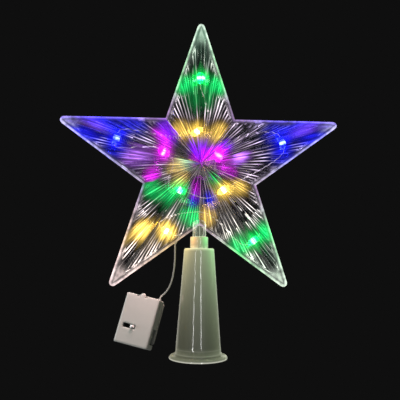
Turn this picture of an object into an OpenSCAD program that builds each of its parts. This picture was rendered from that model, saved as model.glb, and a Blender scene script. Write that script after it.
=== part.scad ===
// Lit star for the top of a tree: two clear fluted half shells on a stem,
// a tapered base that slips over the top shoot, a string of ten bead lights
// inside the star and a coin cell box on its lead.
// X runs to the right seen from the front, Y to the back and Z up, with the
// origin at the middle of the base's mouth. Millimetres and degrees.

/* [Star] */
// Width across the two side points
star_w = 180; // [150:1:220]
// Angle of each point
tip_angle = 36; // [34:0.5:38]
// Radius of the rounded points
tip_round = 2.6; // [1.8:0.1:3.2]
// Height of each half above the seam
half_depth = 14; // [13:0.5:20]
// Wall of each half at its middle
wall = 1.2; // [1:0.1:1.6]
// Width of the flat rim
rim_w = 2.4; // [2.2:0.1:3]
// Thickness of the rim on each half
rim_t = 1.5; // [1.3:0.1:1.8]
// Flutes on each facet
flutes = 12; // [6:1:14]
// Depth of a flute at its outer end
flute_depth = 0.4; // [0.2:0.05:0.5]
// Length of the run-out at a flute's outer end
flute_runout = 2; // [1:0.25:4]
// Radius of the plain middle where the flutes start
hub_r = 5; // [4:0.5:8]

/* [Rim clips] */
// Length of a clip along the rim
clip_l = 4.6; // [3:0.1:6]
// Width of a clip across the rim
clip_w = 1.1; // [0.8:0.1:1.2]
// Distance of a clip from the inner corner
clip_along = 15.5; // [12:0.5:24]

/* [Stem] */
// Outside diameter of the stem
stem_d = 8.6; // [8:0.1:10]
// Bore of the stem
stem_bore = 5.8; // [4:0.1:6.4]
// Length of stem that shows between the base and the star
stem_show = 7.2; // [4:0.2:12]
// Length of stem held in the base
stem_grip = 14; // [10:0.5:18]
// Length of stem moulded into the star's corner
stem_root = 4; // [3:0.5:6]

/* [Base] */
// Height of the base up to its shoulder
base_h = 68.7; // [55:0.1:90]
// Diameter of the base at its shoulder
shoulder_d = 19.2; // [17:0.1:22]
// Diameter of the taper just above the flange
taper_d = 28.8; // [25:0.1:34]
// Diameter of the flange round the mouth
flange_d = 36.8; // [34:0.1:44]
// Thickness of the flange
flange_t = 1.6; // [1.2:0.1:2.4]
// Diameter of the step on the flange
step_d = 31; // [29:0.1:35]
// Height of the step above the flange
step_h = 1.8; // [1:0.1:3]
// Diameter of the neck
neck_d = 11.4; // [11:0.1:13]
// Height of the neck above the shoulder
neck_h = 7.3; // [5:0.1:12]
// Wall of the base
base_wall = 1.2; // [1:0.1:1.8]
// Chamfer on the base's outer edges
base_edge = 0.7; // [0.3:0.1:1]

/* [Lights] */
// Length of a bead light
bead_l = 7.6; // [6:0.1:9]
// Diameter of a bead light
bead_d = 4.4; // [3.6:0.1:4.6]
// Diameter of a bead at its ends
bead_end_d = 1.6; // [1.2:0.1:2]
// Length of the light chip in a bead
chip_l = 2; // [1.2:0.1:2.6]
// Width of the light chip
chip_w = 1.2; // [0.8:0.1:1.6]
// Thickness of the light chip
chip_t = 0.8; // [0.5:0.1:1.2]
// Diameter of the string's twin wire
wire_d = 0.6; // [0.4:0.05:0.8]

/* [Lead] */
// Diameter of the lead
lead_d = 1; // [0.8:0.05:1.4]
// Distance of the lead's notch from the bottom inner corner
notch_along = 18.3; // [14:0.1:24]

/* [Battery box] */
// Width of the box
box_w = 22.4; // [20:0.1:26]
// Length of the box
box_l = 31.5; // [31.5:0.1:36]
// Side walls of the box
box_wall = 1.1; // [0.9:0.05:1.1]
// Front wall of the box
face_t = 1.2; // [1:0.1:1.6]
// Thickness of the rear door
door_t = 1.15; // [1:0.05:1.5]
// Corner radius of the box
box_round = 1; // [0.8:0.1:1.8]
// Depth of the bay behind the front wall
bay_t = 2.6; // [2.5:0.1:3.4]
// Thickness of a coin cell
cell_t = 3.2; // [2.5:0.1:3.6]

/* [Switch] */
// Length of the switch window
window_l = 8.2; // [7:0.1:9]
// Height of the switch window
window_h = 2.6; // [2.4:0.1:3.4]
// Window's middle, to the left of the box's middle
window_left = 4; // [2:0.1:5]
// Window's middle, below the cells' middle
window_down = 7.85; // [7:0.05:9]
// Side of the square knob
knob_w = 1.8; // [1.4:0.1:2.2]
// Travel of the knob
knob_travel = 4; // [2.5:0.1:4.4]
// Height of the knob above the front wall
knob_proud = 1; // [0:0.1:1.6]

/* [Latch and hinge] */
// Width of the latch tab
tab_w = 4.5; // [3.5:0.1:6]
// Width of a slit beside the tab
slit_w = 0.6; // [0.4:0.05:0.9]
// Radius of the nub on the tab
nub_r = 1.5; // [1:0.05:1.8]
// Thickness of the nub
nub_t = 1.8; // [1.4:0.1:2.4]
// Length of a slot in the front wall beside the nub
slot_l = 2.2; // [1.4:0.1:3]
// Height of such a slot
slot_h = 0.5; // [0.4:0.05:0.7]
// Length of the thumb notch in the right wall
thumb_l = 9.5; // [7:0.1:11]
// Width of the hinge knuckle
knuckle_w = 4.6; // [3.6:0.1:6]
// Diameter of the hinge knuckle
knuckle_d = 2.7; // [2.4:0.1:2.8]
// Diameter of the hinge pins
pin_d = 1.5; // [1.2:0.05:1.6]
// Length of a hinge pin
pin_l = 2.2; // [1.6:0.1:2.6]

/* [Hidden] */
$fn = 64;
// Gap between pieces that slide or turn on each other
fit_gap = 0.05;
// Gap between pieces that only lie side by side
free_gap = 0.1;
// Reach of a cut past the face that it goes through
past = 1;

// Outline of the star
arms = 5;
half_sector = 180 / arms;
edge_lean = 90 - tip_angle / 2;
tip_centre_r = (star_w / 2 - tip_round) / cos(90 - 2 * half_sector);
edge_dist = tip_centre_r * sin(tip_angle / 2) + tip_round;
corner_r = edge_dist / cos(edge_lean - half_sector);
tangent_turn = atan2(tip_round * sin(edge_lean), tip_centre_r + tip_round * cos(edge_lean));
foot_dist = edge_dist - rim_w;
facet_slope = atan2(half_depth - rim_t, foot_dist);
inner_height = half_depth - wall / cos(facet_slope);

// Levels
neck_top = base_h + neck_h;
stem_z0 = neck_top - stem_grip;
corner_z = neck_top + stem_show;
star_z = corner_z + corner_r;

// Radius of an edge, moved inwards, at a turn away from the point's middle
function edge_r(turn, inset = 0) = (edge_dist - inset) / cos(edge_lean - turn);

// Radius of the outline with its rounded points
function outline_r(turn) = turn >= tangent_turn
    ? edge_r(turn)
    : tip_centre_r * cos(turn) + sqrt(pow(tip_round, 2) - pow(tip_centre_r * sin(turn), 2));

// Turns of the spokes from a point's middle to the next inner corner: a plain
// land along the ridge, then the crests and grooves of the flutes by turns
land_steps = 3;
spoke_turns = concat(
    [for (i = [0 : land_steps - 1]) tangent_turn * i / land_steps],
    [for (i = [0 : 2 * flutes]) tangent_turn + (half_sector - tangent_turn) * i / (2 * flutes)]
);
last_turn = len(spoke_turns) - 1;

// Spokes round the whole star: heading, turn from the nearest point, and depth of groove
spokes = [
    for (h = [0 : 2 * arms - 1])
        for (i = [0 : last_turn - 1])
            let (
                outward = h % 2 == 0,
                k = outward ? i : last_turn - i,
                turn = spoke_turns[k],
                groove = k > land_steps && (k - land_steps) % 2 == 1
            )
            [90 + h * half_sector + (outward ? turn : half_sector - turn), turn, groove ? flute_depth : 0]
];

// Height of a facet's plane at a radius along a spoke
function facet_h(r, turn) = rim_t + (half_depth - rim_t) * (1 - r / edge_r(turn, rim_w));

// Rings of the half shell on one spoke, from the middle over the rim and back
// inside: radius and height
function shell_rings(spoke) =
    let (
        turn = spoke[1],
        foot = edge_r(turn, rim_w),
        flute_end = foot - flute_runout
    )
    [
        [hub_r, facet_h(hub_r, turn)],
        [flute_end, facet_h(flute_end, turn) - spoke[2]],
        [foot, rim_t],
        [outline_r(turn), rim_t],
        [outline_r(turn), 0],
        [foot, 0]
    ];

// Point at a heading, radius and height in front of the seam
function star_point(heading, r, h) = [r * cos(heading), -h, star_z + r * sin(heading)];

ring_count = 6;
spoke_count = len(spokes);
shell_points = concat(
    [star_point(0, 0, half_depth)],
    [for (j = [0 : ring_count - 1]) for (s = spokes)
        let (ring = shell_rings(s)[j]) star_point(s[0], ring[0], ring[1])],
    [star_point(0, 0, inner_height)]
);
inner_apex = len(shell_points) - 1;
function shell_at(j, i) = 1 + j * spoke_count + i % spoke_count;
shell_faces = concat(
    [for (i = [0 : spoke_count - 1]) [0, shell_at(0, i + 1), shell_at(0, i)]],
    [for (j = [0 : ring_count - 2]) for (i = [0 : spoke_count - 1])
        [shell_at(j, i), shell_at(j + 1, i + 1), shell_at(j + 1, i)]],
    [for (j = [0 : ring_count - 2]) for (i = [0 : spoke_count - 1])
        [shell_at(j, i), shell_at(j, i + 1), shell_at(j + 1, i + 1)]],
    [for (i = [0 : spoke_count - 1])
        [inner_apex, shell_at(ring_count - 1, i), shell_at(ring_count - 1, i + 1)]]
);

// Arm and side whose edge the lead leaves by: the lower left arm's inner edge
lead_arm = 2;
lead_side = 1;
notch_r = lead_d / 2 + fit_gap;

// Heading of an edge's outward normal, and a point on that edge at a distance
// from its inner corner and inside the outline
function edge_heading(arm, side) = 90 + arm * 2 * half_sector + side * edge_lean;
function edge_point(arm, side, along, inset = 0) =
    let (
        corner_at = 90 + arm * 2 * half_sector + side * half_sector,
        out = edge_heading(arm, side)
    )
    [
        corner_r * cos(corner_at) + side * along * sin(out) - inset * cos(out),
        0,
        star_z + corner_r * sin(corner_at) - side * along * cos(out) - inset * sin(out)
    ];

// Stations of the light string in order from the lead: heading round the star,
// share of the way to a point, share of the depth behind the seam, heading of the
// wire, share of the way to a point over which it bends, and the light's colour,
// or undef where the wire only bends
stations = [
    [243, 0.51, 0, 148, 0.09, "gold"],
    [270, 0.32, 0, 0, 0.15, undef],
    [306, 0.64, 0, 36, 0.09, "limegreen"],
    [30, 0.155, 0.14, 60, 0.15, "magenta"],
    [17, 0.61, 0, 288, 0.08, "blue"],
    [314, 0.235, -0.14, 215, 0.11, "gold"],
    [231, 0.22, 0.07, 165, 0.11, "limegreen"],
    [160, 0.27, -0.07, 150, 0.11, "magenta"],
    [162, 0.615, 0, 72, 0.08, "blue"],
    [95, 0.245, -0.07, 35, 0.13, "gold"],
    [90, 0.63, 0, 90, 0.11, "limegreen"]
];
light_stations = [for (i = [0 : len(stations) - 1]) if (!is_undef(stations[i][5])) i];
light_count = len(light_stations);
function station_at(i) =
    star_point(stations[i][0], stations[i][1] * tip_centre_r, -stations[i][2] * half_depth);
function station_dir(i) = [cos(stations[i][3]), 0, sin(stations[i][3])];
function station_reach(i) = stations[i][4] * tip_centre_r;
function is_light(i) = !is_undef(stations[i][5]);

// Point of a cubic curve
function cubic(a, b, c, d, t) =
    pow(1 - t, 3) * a + 3 * t * pow(1 - t, 2) * b + 3 * t * t * (1 - t) * c + pow(t, 3) * d;

// Wire from one station to the next: out of a bead, along a curve, into the next
bend_steps = 8;
function wire_span(i) =
    let (
        from = station_at(i),
        to = station_at(i + 1),
        leave = is_light(i) ? from + station_dir(i) * bead_l / 2 : from,
        arrive = is_light(i + 1) ? to - station_dir(i + 1) * bead_l / 2 : to,
        ahead = leave + station_dir(i) * station_reach(i),
        behind = arrive - station_dir(i + 1) * station_reach(i + 1)
    )
    concat(
        is_light(i) ? [from + station_dir(i) * chip_l / 2] : [],
        [for (k = [is_light(i) ? 0 : 1 : bend_steps]) cubic(leave, ahead, behind, arrive, k / bend_steps)],
        is_light(i + 1) ? [to - station_dir(i + 1) * chip_l / 2] : []
    );

// Lead's way out, slantwise through the rim: from its inner end to the edge
lead_heading = 240;
notch_dir = [cos(lead_heading), 0, sin(lead_heading)];
notch_l = rim_w / cos(edge_heading(lead_arm, lead_side) - lead_heading);
lead_start = edge_point(lead_arm, lead_side, notch_along);
notch_in = lead_start - notch_dir * notch_l;

// First wire, from the lead's inner end to the first light
first_steps = 6;
first_leave = 4;
first_reach = 2.4;
first_arrive = station_at(0) - station_dir(0) * bead_l / 2;
first_wire = concat(
    [for (k = [0 : first_steps]) cubic(notch_in, notch_in - notch_dir * first_leave,
        first_arrive - station_dir(0) * first_reach, first_arrive, k / first_steps)],
    [station_at(0) - station_dir(0) * chip_l / 2]
);

// Battery box: where its middle is and how it lies
box_at = [-37.3, 5.2, 22];
box_turn = [-14, 11, -18];
cell_room = 0.2;
cell_d = box_w - 2 * box_wall - 2 * free_gap;
housing_t = face_t + bay_t + 2 * cell_t + cell_room;
box_t = housing_t + door_t + fit_gap;
front_y = -box_t / 2;
rear_y = front_y + housing_t;
bay_y = front_y + face_t;
cell_y = bay_y + bay_t;
catch_t = 0.9;
catch_gap = 0.2;
cell_z = box_l / 2 - box_wall - catch_t - 2 * catch_gap - cell_d / 2;
rib_t = 1;
leaf_t = 0.3;
rib_top = cell_z - cell_d / 2 - free_gap - leaf_t;
window_z = cell_z - window_down;

// Hinge of the rear door, along the box's width
knuckle_gap = 0.4;
cheek_w = pin_l + knuckle_gap;
cheek_h = 3.2;
hinge_y = rear_y - 1.5;
hinge_z = -box_l / 2 + 1.7;
door_foot = hinge_z + 2.1;
door_top = box_l / 2 - 1.2;
door_lip = 0.4;
door_y = rear_y + fit_gap;

// Middle of the latch across the box, and the front slots' distance below its top
latch_x = -0.6;
slot_down = 0.4;

// Row place of a point of the box
function about_x(p, a) = [p[0], p[1] * cos(a) - p[2] * sin(a), p[1] * sin(a) + p[2] * cos(a)];
function about_y(p, a) = [p[0] * cos(a) + p[2] * sin(a), p[1], p[2] * cos(a) - p[0] * sin(a)];
function about_z(p, a) = [p[0] * cos(a) - p[1] * sin(a), p[0] * sin(a) + p[1] * cos(a), p[2]];
function box_dir(p) = about_z(about_y(about_x(p, box_turn[0]), box_turn[1]), box_turn[2]);
function box_point(p) = box_at + box_dir(p);

// Lead's hole in the box's top wall
hole_x = 9.4;
hole_y = -0.5;

// Free route of the lead from the star's edge down to the box
lead_out = 0.6;
lead_in = 2;
lead_bends = [
    [-15.4, 0.1, 70.9], [-15.4, 0.2, 69.4], [-15.4, 0.5, 67.5], [-15.4, 0.9, 65.1],
    [-15.4, 1.3, 62.4], [-15.5, 1.7, 59.5], [-15.7, 2.2, 56.6], [-16.1, 2.7, 53.4],
    [-16.6, 3.2, 50.2], [-17.4, 3.7, 47], [-18.5, 4.1, 44.1], [-19.9, 4.4, 41.6],
    [-21.5, 4.7, 39.7], [-23, 4.9, 38.5]
];
lead_route = concat(
    [notch_in, lead_start, lead_start + notch_dir * lead_out],
    lead_bends,
    [box_point([hole_x, hole_y, box_l / 2 + lead_in]), box_point([hole_x, hole_y, box_l / 2]),
     box_point([hole_x, hole_y, box_l / 2 - box_wall - past])]
);

// Ring of points square to a path, on a frame that keeps the Y axis to one side
function unit(v) = v / norm(v);
function path_dir(path, i) = unit(path[min(i + 1, len(path) - 1)] - path[max(i - 1, 0)]);
function path_ring(path, i, r, sides) =
    let (
        along = path_dir(path, i),
        across = unit(cross(along, [0, 1, 0])),
        over = cross(across, along)
    )
    [for (k = [0 : sides - 1]) path[i] + r * (cos(360 * k / sides) * across + sin(360 * k / sides) * over)];

// Round tube along a path of points
tube_sides = 8;
module tube_along(path, d) {
    rings = len(path);
    points = [for (i = [0 : rings - 1]) each path_ring(path, i, d / 2, tube_sides)];
    ends = [
        [for (k = [tube_sides - 1 : -1 : 0]) k],
        [for (k = [0 : tube_sides - 1]) (rings - 1) * tube_sides + k]
    ];
    sides = [
        for (i = [0 : rings - 2]) for (k = [0 : tube_sides - 1])
            let (
                a = i * tube_sides + k,
                b = i * tube_sides + (k + 1) % tube_sides
            )
            each [[a, b, a + tube_sides], [b, b + tube_sides, a + tube_sides]]
    ];
    polyhedron(points, concat(ends, sides));
}

// Tapered base with its flange, neck and stem socket
module base_cone() {
    neck_r = neck_d / 2;
    socket_r = stem_d / 2 + fit_gap;
    ledge_z = stem_z0 - free_gap;
    taper_z = flange_t + step_h;
    taper_in = base_wall / cos(atan2(taper_d - shoulder_d, 2 * (base_h - taper_z)));
    ceiling_z = base_h - base_wall;
    color("lightgray", 0.8)
    rotate_extrude()
        polygon([
            [taper_d / 2 - taper_in, 0],
            [flange_d / 2, 0],
            [flange_d / 2, flange_t - base_edge],
            [flange_d / 2 - base_edge, flange_t],
            [step_d / 2, flange_t],
            [step_d / 2 - base_edge, taper_z],
            [taper_d / 2, taper_z],
            [shoulder_d / 2, base_h - base_edge],
            [shoulder_d / 2 - base_edge, base_h],
            [neck_r, base_h],
            [neck_r, neck_top - base_edge / 2],
            [neck_r - base_edge / 2, neck_top],
            [socket_r, neck_top],
            [socket_r, ledge_z],
            [stem_bore / 2, ledge_z],
            [stem_bore / 2, ledge_z - base_wall],
            [neck_r, ledge_z - base_wall],
            [neck_r, ceiling_z],
            [shoulder_d / 2 - taper_in, ceiling_z],
            [taper_d / 2 - taper_in, taper_z]
        ]);
}

// Place on the star's edge: X points out of the edge and Z along it
module at_edge(arm, side, along, inset = 0) {
    translate(edge_point(arm, side, along, inset))
        rotate([0, -edge_heading(arm, side), 0])
            children();
}

// Children at every edge's clip, except where the lead goes out
module at_clips() {
    for (arm = [0 : arms - 1], side = [-1, 1])
        if (arm != lead_arm || side != lead_side)
            at_edge(arm, side, clip_along, rim_w / 2)
                children();
}

// Round notch in the seam where the lead goes out, with room for the first wire
module lead_notch() {
    wire_room = 2.5;
    translate(notch_in - notch_dir * wire_room)
        rotate([0, 90 - lead_heading, 0])
            cylinder(r = notch_r, h = wire_room + notch_l + 2 * past);
}

// Front half of the stem, blind where it meets the star
module stem_half() {
    stem_top = corner_z + stem_root;
    difference() {
        translate([0, 0, stem_z0])
            cylinder(d = stem_d, h = stem_top - stem_z0);
        translate([0, 0, stem_z0 - past])
            cylinder(d = stem_bore, h = corner_z - stem_z0);
        translate([-stem_d, 0, stem_z0 - past])
            cube([2 * stem_d, stem_d, stem_top - stem_z0 + 2 * past]);
    }
}

// Fluted front half with its half of the stem
module half_shell() {
    union() {
        polyhedron(shell_points, shell_faces);
        stem_half();
    }
}

module front_star_shell() {
    color("azure", 0.4)
    difference() {
        half_shell();
        lead_notch();
        at_clips()
            cube([clip_w, 2 * (rim_t + past), clip_l], center = true);
    }
}

// Rear half, whose tongues fill the front rim's pockets
module rear_star_shell() {
    tongue_w = clip_w - 2 * free_gap;
    tongue_l = clip_l - 2 * free_gap;
    color("aliceblue", 0.4)
    union() {
        difference() {
            mirror([0, 1, 0]) half_shell();
            lead_notch();
        }
        at_clips()
            translate([-tongue_w / 2, -rim_t + free_gap, -tongue_l / 2])
                cube([tongue_w, 2 * rim_t - 2 * free_gap, tongue_l]);
    }
}

// Twin wire that links the lights, cut where each light sits in it
module string_wire() {
    color("lightsteelblue") {
        tube_along(first_wire, wire_d);
        for (n = [0 : light_count - 2]) {
            from = light_stations[n];
            to = light_stations[n + 1];
            tube_along([for (i = [from : to - 1]) each wire_span(i)], wire_d);
        }
    }
}

// Lead from the star to the battery box
module battery_lead() {
    color("whitesmoke")
        tube_along(lead_route, lead_d);
}

// Place of a light: X along the wire and Y to the back
module at_light(n) {
    i = light_stations[n];
    translate(station_at(i))
        rotate([0, -stations[i][3], 0])
            children();
}

module chip_block() {
    cube([chip_l, chip_t, chip_w], center = true);
}

// Drop of clear resin round a chip, with the wire's bore along it
module bead_light(n) {
    bore_r = wire_d / 2 + fit_gap;
    end_r = bead_end_d / 2;
    swell = bead_d / 2 - end_r;
    steps = 12;
    color(stations[light_stations[n]][5], 0.7)
    at_light(n)
        difference() {
            rotate([0, 90, 0])
                rotate_extrude()
                    polygon(concat(
                        [[bore_r, -bead_l / 2]],
                        [for (k = [0 : steps])
                            let (a = 180 * k / steps)
                            [end_r + swell * sin(a), -cos(a) * bead_l / 2]],
                        [[bore_r, bead_l / 2]]
                    ));
            chip_block();
        }
}

module light_chip(n) {
    color("lightyellow")
    at_light(n)
        chip_block();
}

// Flat block with rounded corners, its thickness along Y from 0
module rounded_block(w, l, r, t) {
    rotate([90, 0, 180])
        linear_extrude(t) {
            square([w - 2 * r, l], center = true);
            square([w, l - 2 * r], center = true);
            for (x = [-1, 1], z = [-1, 1])
                translate([x * (w / 2 - r), z * (l / 2 - r)])
                    circle(r);
        }
}

module in_box() {
    translate(box_at)
        rotate(box_turn)
            children();
}

// Block given by its low and high corners
module block(low, high) {
    translate(low)
        cube(high - low);
}

// Cylinder along the box's width, about a middle
module cross_pin(x, y, z, r, l) {
    translate([x, y, z])
        rotate([0, 90, 0])
            cylinder(r = r, h = l, center = true);
}

// Bearing cheeks for the hinge pins, inside the bottom wall
module hinge_cheeks() {
    for (side = [-1, 1])
        translate([side * (knuckle_w + knuckle_gap * 2 + cheek_w) / 2, 0, 0])
            block([-cheek_w / 2, hinge_y - cheek_h / 2, -box_l / 2 + box_wall / 2],
                  [cheek_w / 2, rear_y, -box_l / 2 + cheek_h]);
}

// Front housing of the battery box, open to the rear
module box_housing() {
    inner_r = box_round - box_wall / 2;
    inner_x = box_w / 2 - box_wall;
    top_z = box_l / 2;
    thumb_low = -12.5;
    thumb_y = cell_y - catch_gap;
    side_slot_w = 0.8;
    side_slot_l = 4;
    side_slot_down = 4.4;
    color("gainsboro")
    in_box()
        difference() {
            union() {
                difference() {
                    translate([0, front_y, 0])
                        rounded_block(box_w, box_l, box_round, housing_t);
                    translate([0, bay_y, 0])
                        rounded_block(2 * inner_x, box_l - 2 * box_wall, inner_r, housing_t);
                }
                // Rib under the cells, tied to the front wall by a web
                block([-inner_x - box_wall / 2, cell_y, rib_top - rib_t],
                      [inner_x + box_wall / 2, rear_y - cell_room, rib_top]);
                block([inner_x / 2, bay_y - face_t / 2, rib_top - rib_t],
                      [inner_x - free_gap, cell_y + rib_t, rib_top]);
                hinge_cheeks();
                // Nub to lift the latch tab by
                translate([latch_x, front_y, top_z])
                    rotate([-90, 0, 0])
                        cylinder(r = nub_r, h = nub_t);
            }
            // Window of the switch
            translate([-window_left, front_y + face_t / 2, window_z])
                cube([window_l, face_t + 2 * past, window_h], center = true);
            for (side = [-1, 1]) {
                // Slits in the top wall that free the latch tab
                translate([latch_x + side * (tab_w + slit_w) / 2, 0, 0])
                    block([-slit_w / 2, bay_y - face_t / 2, top_z - box_wall - free_gap],
                          [slit_w / 2, rear_y + past, top_z + past]);
                // Slots in the front wall beside the nub
                translate([latch_x + side * (nub_r + slot_l / 2), 0, top_z - slot_down])
                    block([-slot_l / 2, front_y - past, -slot_h], [slot_l / 2, bay_y, 0]);
            }
            // Notch for the hinge knuckle
            block([-knuckle_w / 2 - knuckle_gap, hinge_y - cheek_h / 2, -top_z - past],
                  [knuckle_w / 2 + knuckle_gap, rear_y + past, -top_z + cheek_h]);
            cross_pin(0, hinge_y, hinge_z, pin_d / 2 + fit_gap, knuckle_w + 2 * pin_l + 2 * free_gap);
            // Thumb notch in the right wall, and the short slot above it
            block([inner_x - free_gap, thumb_y, thumb_low],
                  [box_w / 2 + past, rear_y + past, thumb_low + thumb_l]);
            translate([box_w / 2, cell_y, top_z - side_slot_down])
                cube([2 * box_wall + free_gap, side_slot_w, side_slot_l], center = true);
            // Hole for the lead
            translate([hole_x, hole_y, top_z - box_wall / 2])
                cylinder(r = notch_r, h = box_wall + 2 * past, center = true);
        }
}

// Rear door with its hinge arm and the catch under the latch tab
module battery_door() {
    knuckle_r = knuckle_d / 2;
    door_out = door_y + door_t;
    catch_w = tab_w - 2 * knuckle_gap;
    catch_z = box_l / 2 - box_wall - catch_gap;
    catch_depth = 1.5;
    arm_top = door_foot + 1.4;
    color("whitesmoke")
    in_box()
        union() {
            translate([0, door_y, (door_foot + door_top) / 2])
                rounded_block(box_w + 2 * door_lip, door_top - door_foot, box_round + door_lip, door_t);
            cross_pin(0, hinge_y, hinge_z, knuckle_r, knuckle_w);
            cross_pin(0, hinge_y, hinge_z, pin_d / 2, knuckle_w + 2 * pin_l);
            // Arm from the knuckle to the door's foot
            rotate([90, 0, 90])
                translate([0, 0, -knuckle_w / 2])
                    linear_extrude(knuckle_w)
                        polygon([
                            [hinge_y, hinge_z - knuckle_r],
                            [hinge_y + knuckle_r, hinge_z],
                            [door_out, door_foot],
                            [door_out, arm_top],
                            [door_y, arm_top],
                            [door_y, door_foot],
                            [hinge_y, hinge_z + knuckle_r]
                        ]);
            translate([latch_x, 0, 0])
                block([-catch_w / 2, rear_y - catch_depth, catch_z - catch_t],
                      [catch_w / 2, door_y + door_t / 2, catch_z]);
        }
}

// Sizes of the slide switch behind the window
knob_foot_l = 2.6;
knob_foot_h = knob_w + 1;
knob_foot_t = 0.9;
plate_t = 0.4;
channel_l = knob_foot_l + knob_travel + 2 * free_gap;
channel_h = knob_foot_h + 2 * free_gap;
channel_t = knob_foot_t + 2 * free_gap;
switch_wall = 0.8;
switch_l = channel_l + 2 * switch_wall;
switch_h = channel_h + 2 * switch_wall;
// Knob's middle at rest, at the right end of its travel
knob_x = -window_left + knob_travel / 2;

module switch_body() {
    body_t = bay_t - plate_t - free_gap;
    color("dimgray")
    in_box()
        translate([-window_left, bay_y + plate_t, window_z])
            difference() {
                block([-switch_l / 2, 0, -switch_h / 2], [switch_l / 2, body_t, switch_h / 2]);
                block([-channel_l / 2, -past, -channel_h / 2], [channel_l / 2, channel_t, channel_h / 2]);
            }
}

// Dark plate that keeps the knob in the switch
module switch_plate() {
    slot_l = knob_w + knob_travel + 2 * free_gap;
    slot_h = knob_w + 2 * free_gap;
    color("dimgray")
    in_box()
        translate([-window_left, bay_y, window_z])
            difference() {
                block([-switch_l / 2, 0, -switch_h / 2], [switch_l / 2, plate_t, switch_h / 2]);
                block([-slot_l / 2, -past, -slot_h / 2], [slot_l / 2, plate_t + past, slot_h / 2]);
            }
}

module switch_knob() {
    foot_y = plate_t + free_gap;
    color("white")
    in_box()
        translate([knob_x, bay_y, window_z])
            union() {
                block([-knob_foot_l / 2, foot_y, -knob_foot_h / 2],
                      [knob_foot_l / 2, foot_y + knob_foot_t, knob_foot_h / 2]);
                block([-knob_w / 2, -face_t - knob_proud, -knob_w / 2],
                      [knob_w / 2, foot_y + knob_foot_t, knob_w / 2]);
            }
}

// Coin cell with its crimped can and smaller negative cap towards the front
module coin_cell(y) {
    cap_r = 0.88 * cell_d / 2;
    cap_t = 0.5;
    edge = 0.3;
    in_box()
        translate([0, y, cell_z])
            rotate([-90, 0, 0])
                rotate_extrude()
                    polygon([
                        [0, 0],
                        [cap_r, 0],
                        [cap_r, cap_t],
                        [cell_d / 2 - edge, cap_t],
                        [cell_d / 2, cap_t + edge],
                        [cell_d / 2, cell_t - edge],
                        [cell_d / 2 - edge, cell_t],
                        [0, cell_t]
                    ]);
}

module front_cell() {
    color("silver") coin_cell(cell_y);
}

module rear_cell() {
    color("silver") coin_cell(cell_y + cell_t);
}

// Leaf spring from the front wall to the front cell
module spring_contact() {
    leaf_w = 5;
    foot_x = -7;
    bend_x = -2;
    touch_x = 4;
    end_x = 7;
    color("gold")
    in_box()
        translate([0, 0, cell_z])
            linear_extrude(leaf_w, center = true)
                polygon([
                    [foot_x, bay_y],
                    [bend_x, bay_y],
                    [touch_x, cell_y - leaf_t],
                    [end_x, cell_y - leaf_t],
                    [end_x, cell_y],
                    [touch_x, cell_y],
                    [bend_x, bay_y + leaf_t],
                    [foot_x, bay_y + leaf_t]
                ]);
}

// Strip on the rib that meets the rear cell's rim
module side_contact() {
    strip_l = 9;
    color("gold")
    in_box()
        block([-strip_l / 2, cell_y + free_gap, rib_top],
              [strip_l / 2, rear_y - cell_room, rib_top + leaf_t]);
}

base_cone();
front_star_shell();
rear_star_shell();
string_wire();
battery_lead();
for (n = [0 : light_count - 1]) {
    bead_light(n);
    light_chip(n);
}
box_housing();
battery_door();
switch_body();
switch_plate();
switch_knob();
front_cell();
rear_cell();
spring_contact();
side_contact();
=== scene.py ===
"""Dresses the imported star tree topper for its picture.

Every piece is made here in metres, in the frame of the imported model: X to the
right, Y to the back, Z up, with the origin at the middle of the base's mouth.
Sizes in the classes are millimetres and angles are degrees. Only the lamps are
placed in metres.
"""

import logging
import math
from collections.abc import Iterator
from contextlib import contextmanager
from dataclasses import dataclass
from enum import Enum
from typing import NamedTuple

import bmesh
import bpy
import numpy as np
from bpy.types import Collection, ID, Material, Mesh, NodeSocket, NodeTree, Object
from mathutils import Matrix, Vector


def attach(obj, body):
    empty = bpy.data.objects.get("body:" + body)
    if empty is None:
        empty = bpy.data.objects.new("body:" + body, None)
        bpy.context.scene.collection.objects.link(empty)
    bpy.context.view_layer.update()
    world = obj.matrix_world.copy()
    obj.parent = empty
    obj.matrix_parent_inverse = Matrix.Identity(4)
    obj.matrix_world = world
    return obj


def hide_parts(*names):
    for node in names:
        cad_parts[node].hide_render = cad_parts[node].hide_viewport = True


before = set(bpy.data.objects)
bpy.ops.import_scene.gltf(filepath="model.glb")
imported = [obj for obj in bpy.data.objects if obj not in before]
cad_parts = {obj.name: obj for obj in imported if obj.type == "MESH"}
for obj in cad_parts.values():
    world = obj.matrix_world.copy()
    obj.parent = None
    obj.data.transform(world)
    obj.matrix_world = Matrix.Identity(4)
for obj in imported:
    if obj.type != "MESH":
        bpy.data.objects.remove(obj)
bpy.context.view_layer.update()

# A millimetre in metres, and the distance in millimetres below which two points are one.
MM = 0.001
WELD = 0.002

# The bodies that the pieces ride on.
STAR = "star"
BASE = "base"
DOOR = "door"
KNOB = "knob"

# The flute attribute counts a facet's flutes from 0, and is this where there are none.
UNFLUTED = -1.0

# Steps of a sum that turn the share of a width into a soft bell, 1 in its middle.
BELL = (
    ("share_square", "MULTIPLY", "share", "share"),
    ("dimming", "MULTIPLY", "share_square", -1.0),
    ("bell", "EXPONENT", "dimming"),
)

log = logging.getLogger("topper")


class LightColour(Enum):
    """The four colours of the string, each with three shades."""

    AMBER = ("#FFD050", "#FFF8E0", "#FFD6C6")
    GREEN = ("#04DC56", "#E8FFEE", "#CDEBCB")
    PINK = ("#E010EA", "#FFB4FA", "#D79BF0")
    BLUE = ("#0A12FF", "#B4D4FF", "#5C48F4")

    def __init__(self, resin: str, hot: str, far: str) -> None:
        """Names the shades.

        Args:
            resin: Shade of the resin and of the painted halo close to it.
            hot: Shade of the chip in it.
            far: Shade of its painted light on the flutes far from it.
        """
        self.resin = resin
        self.hot = hot
        self.far = far


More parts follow.
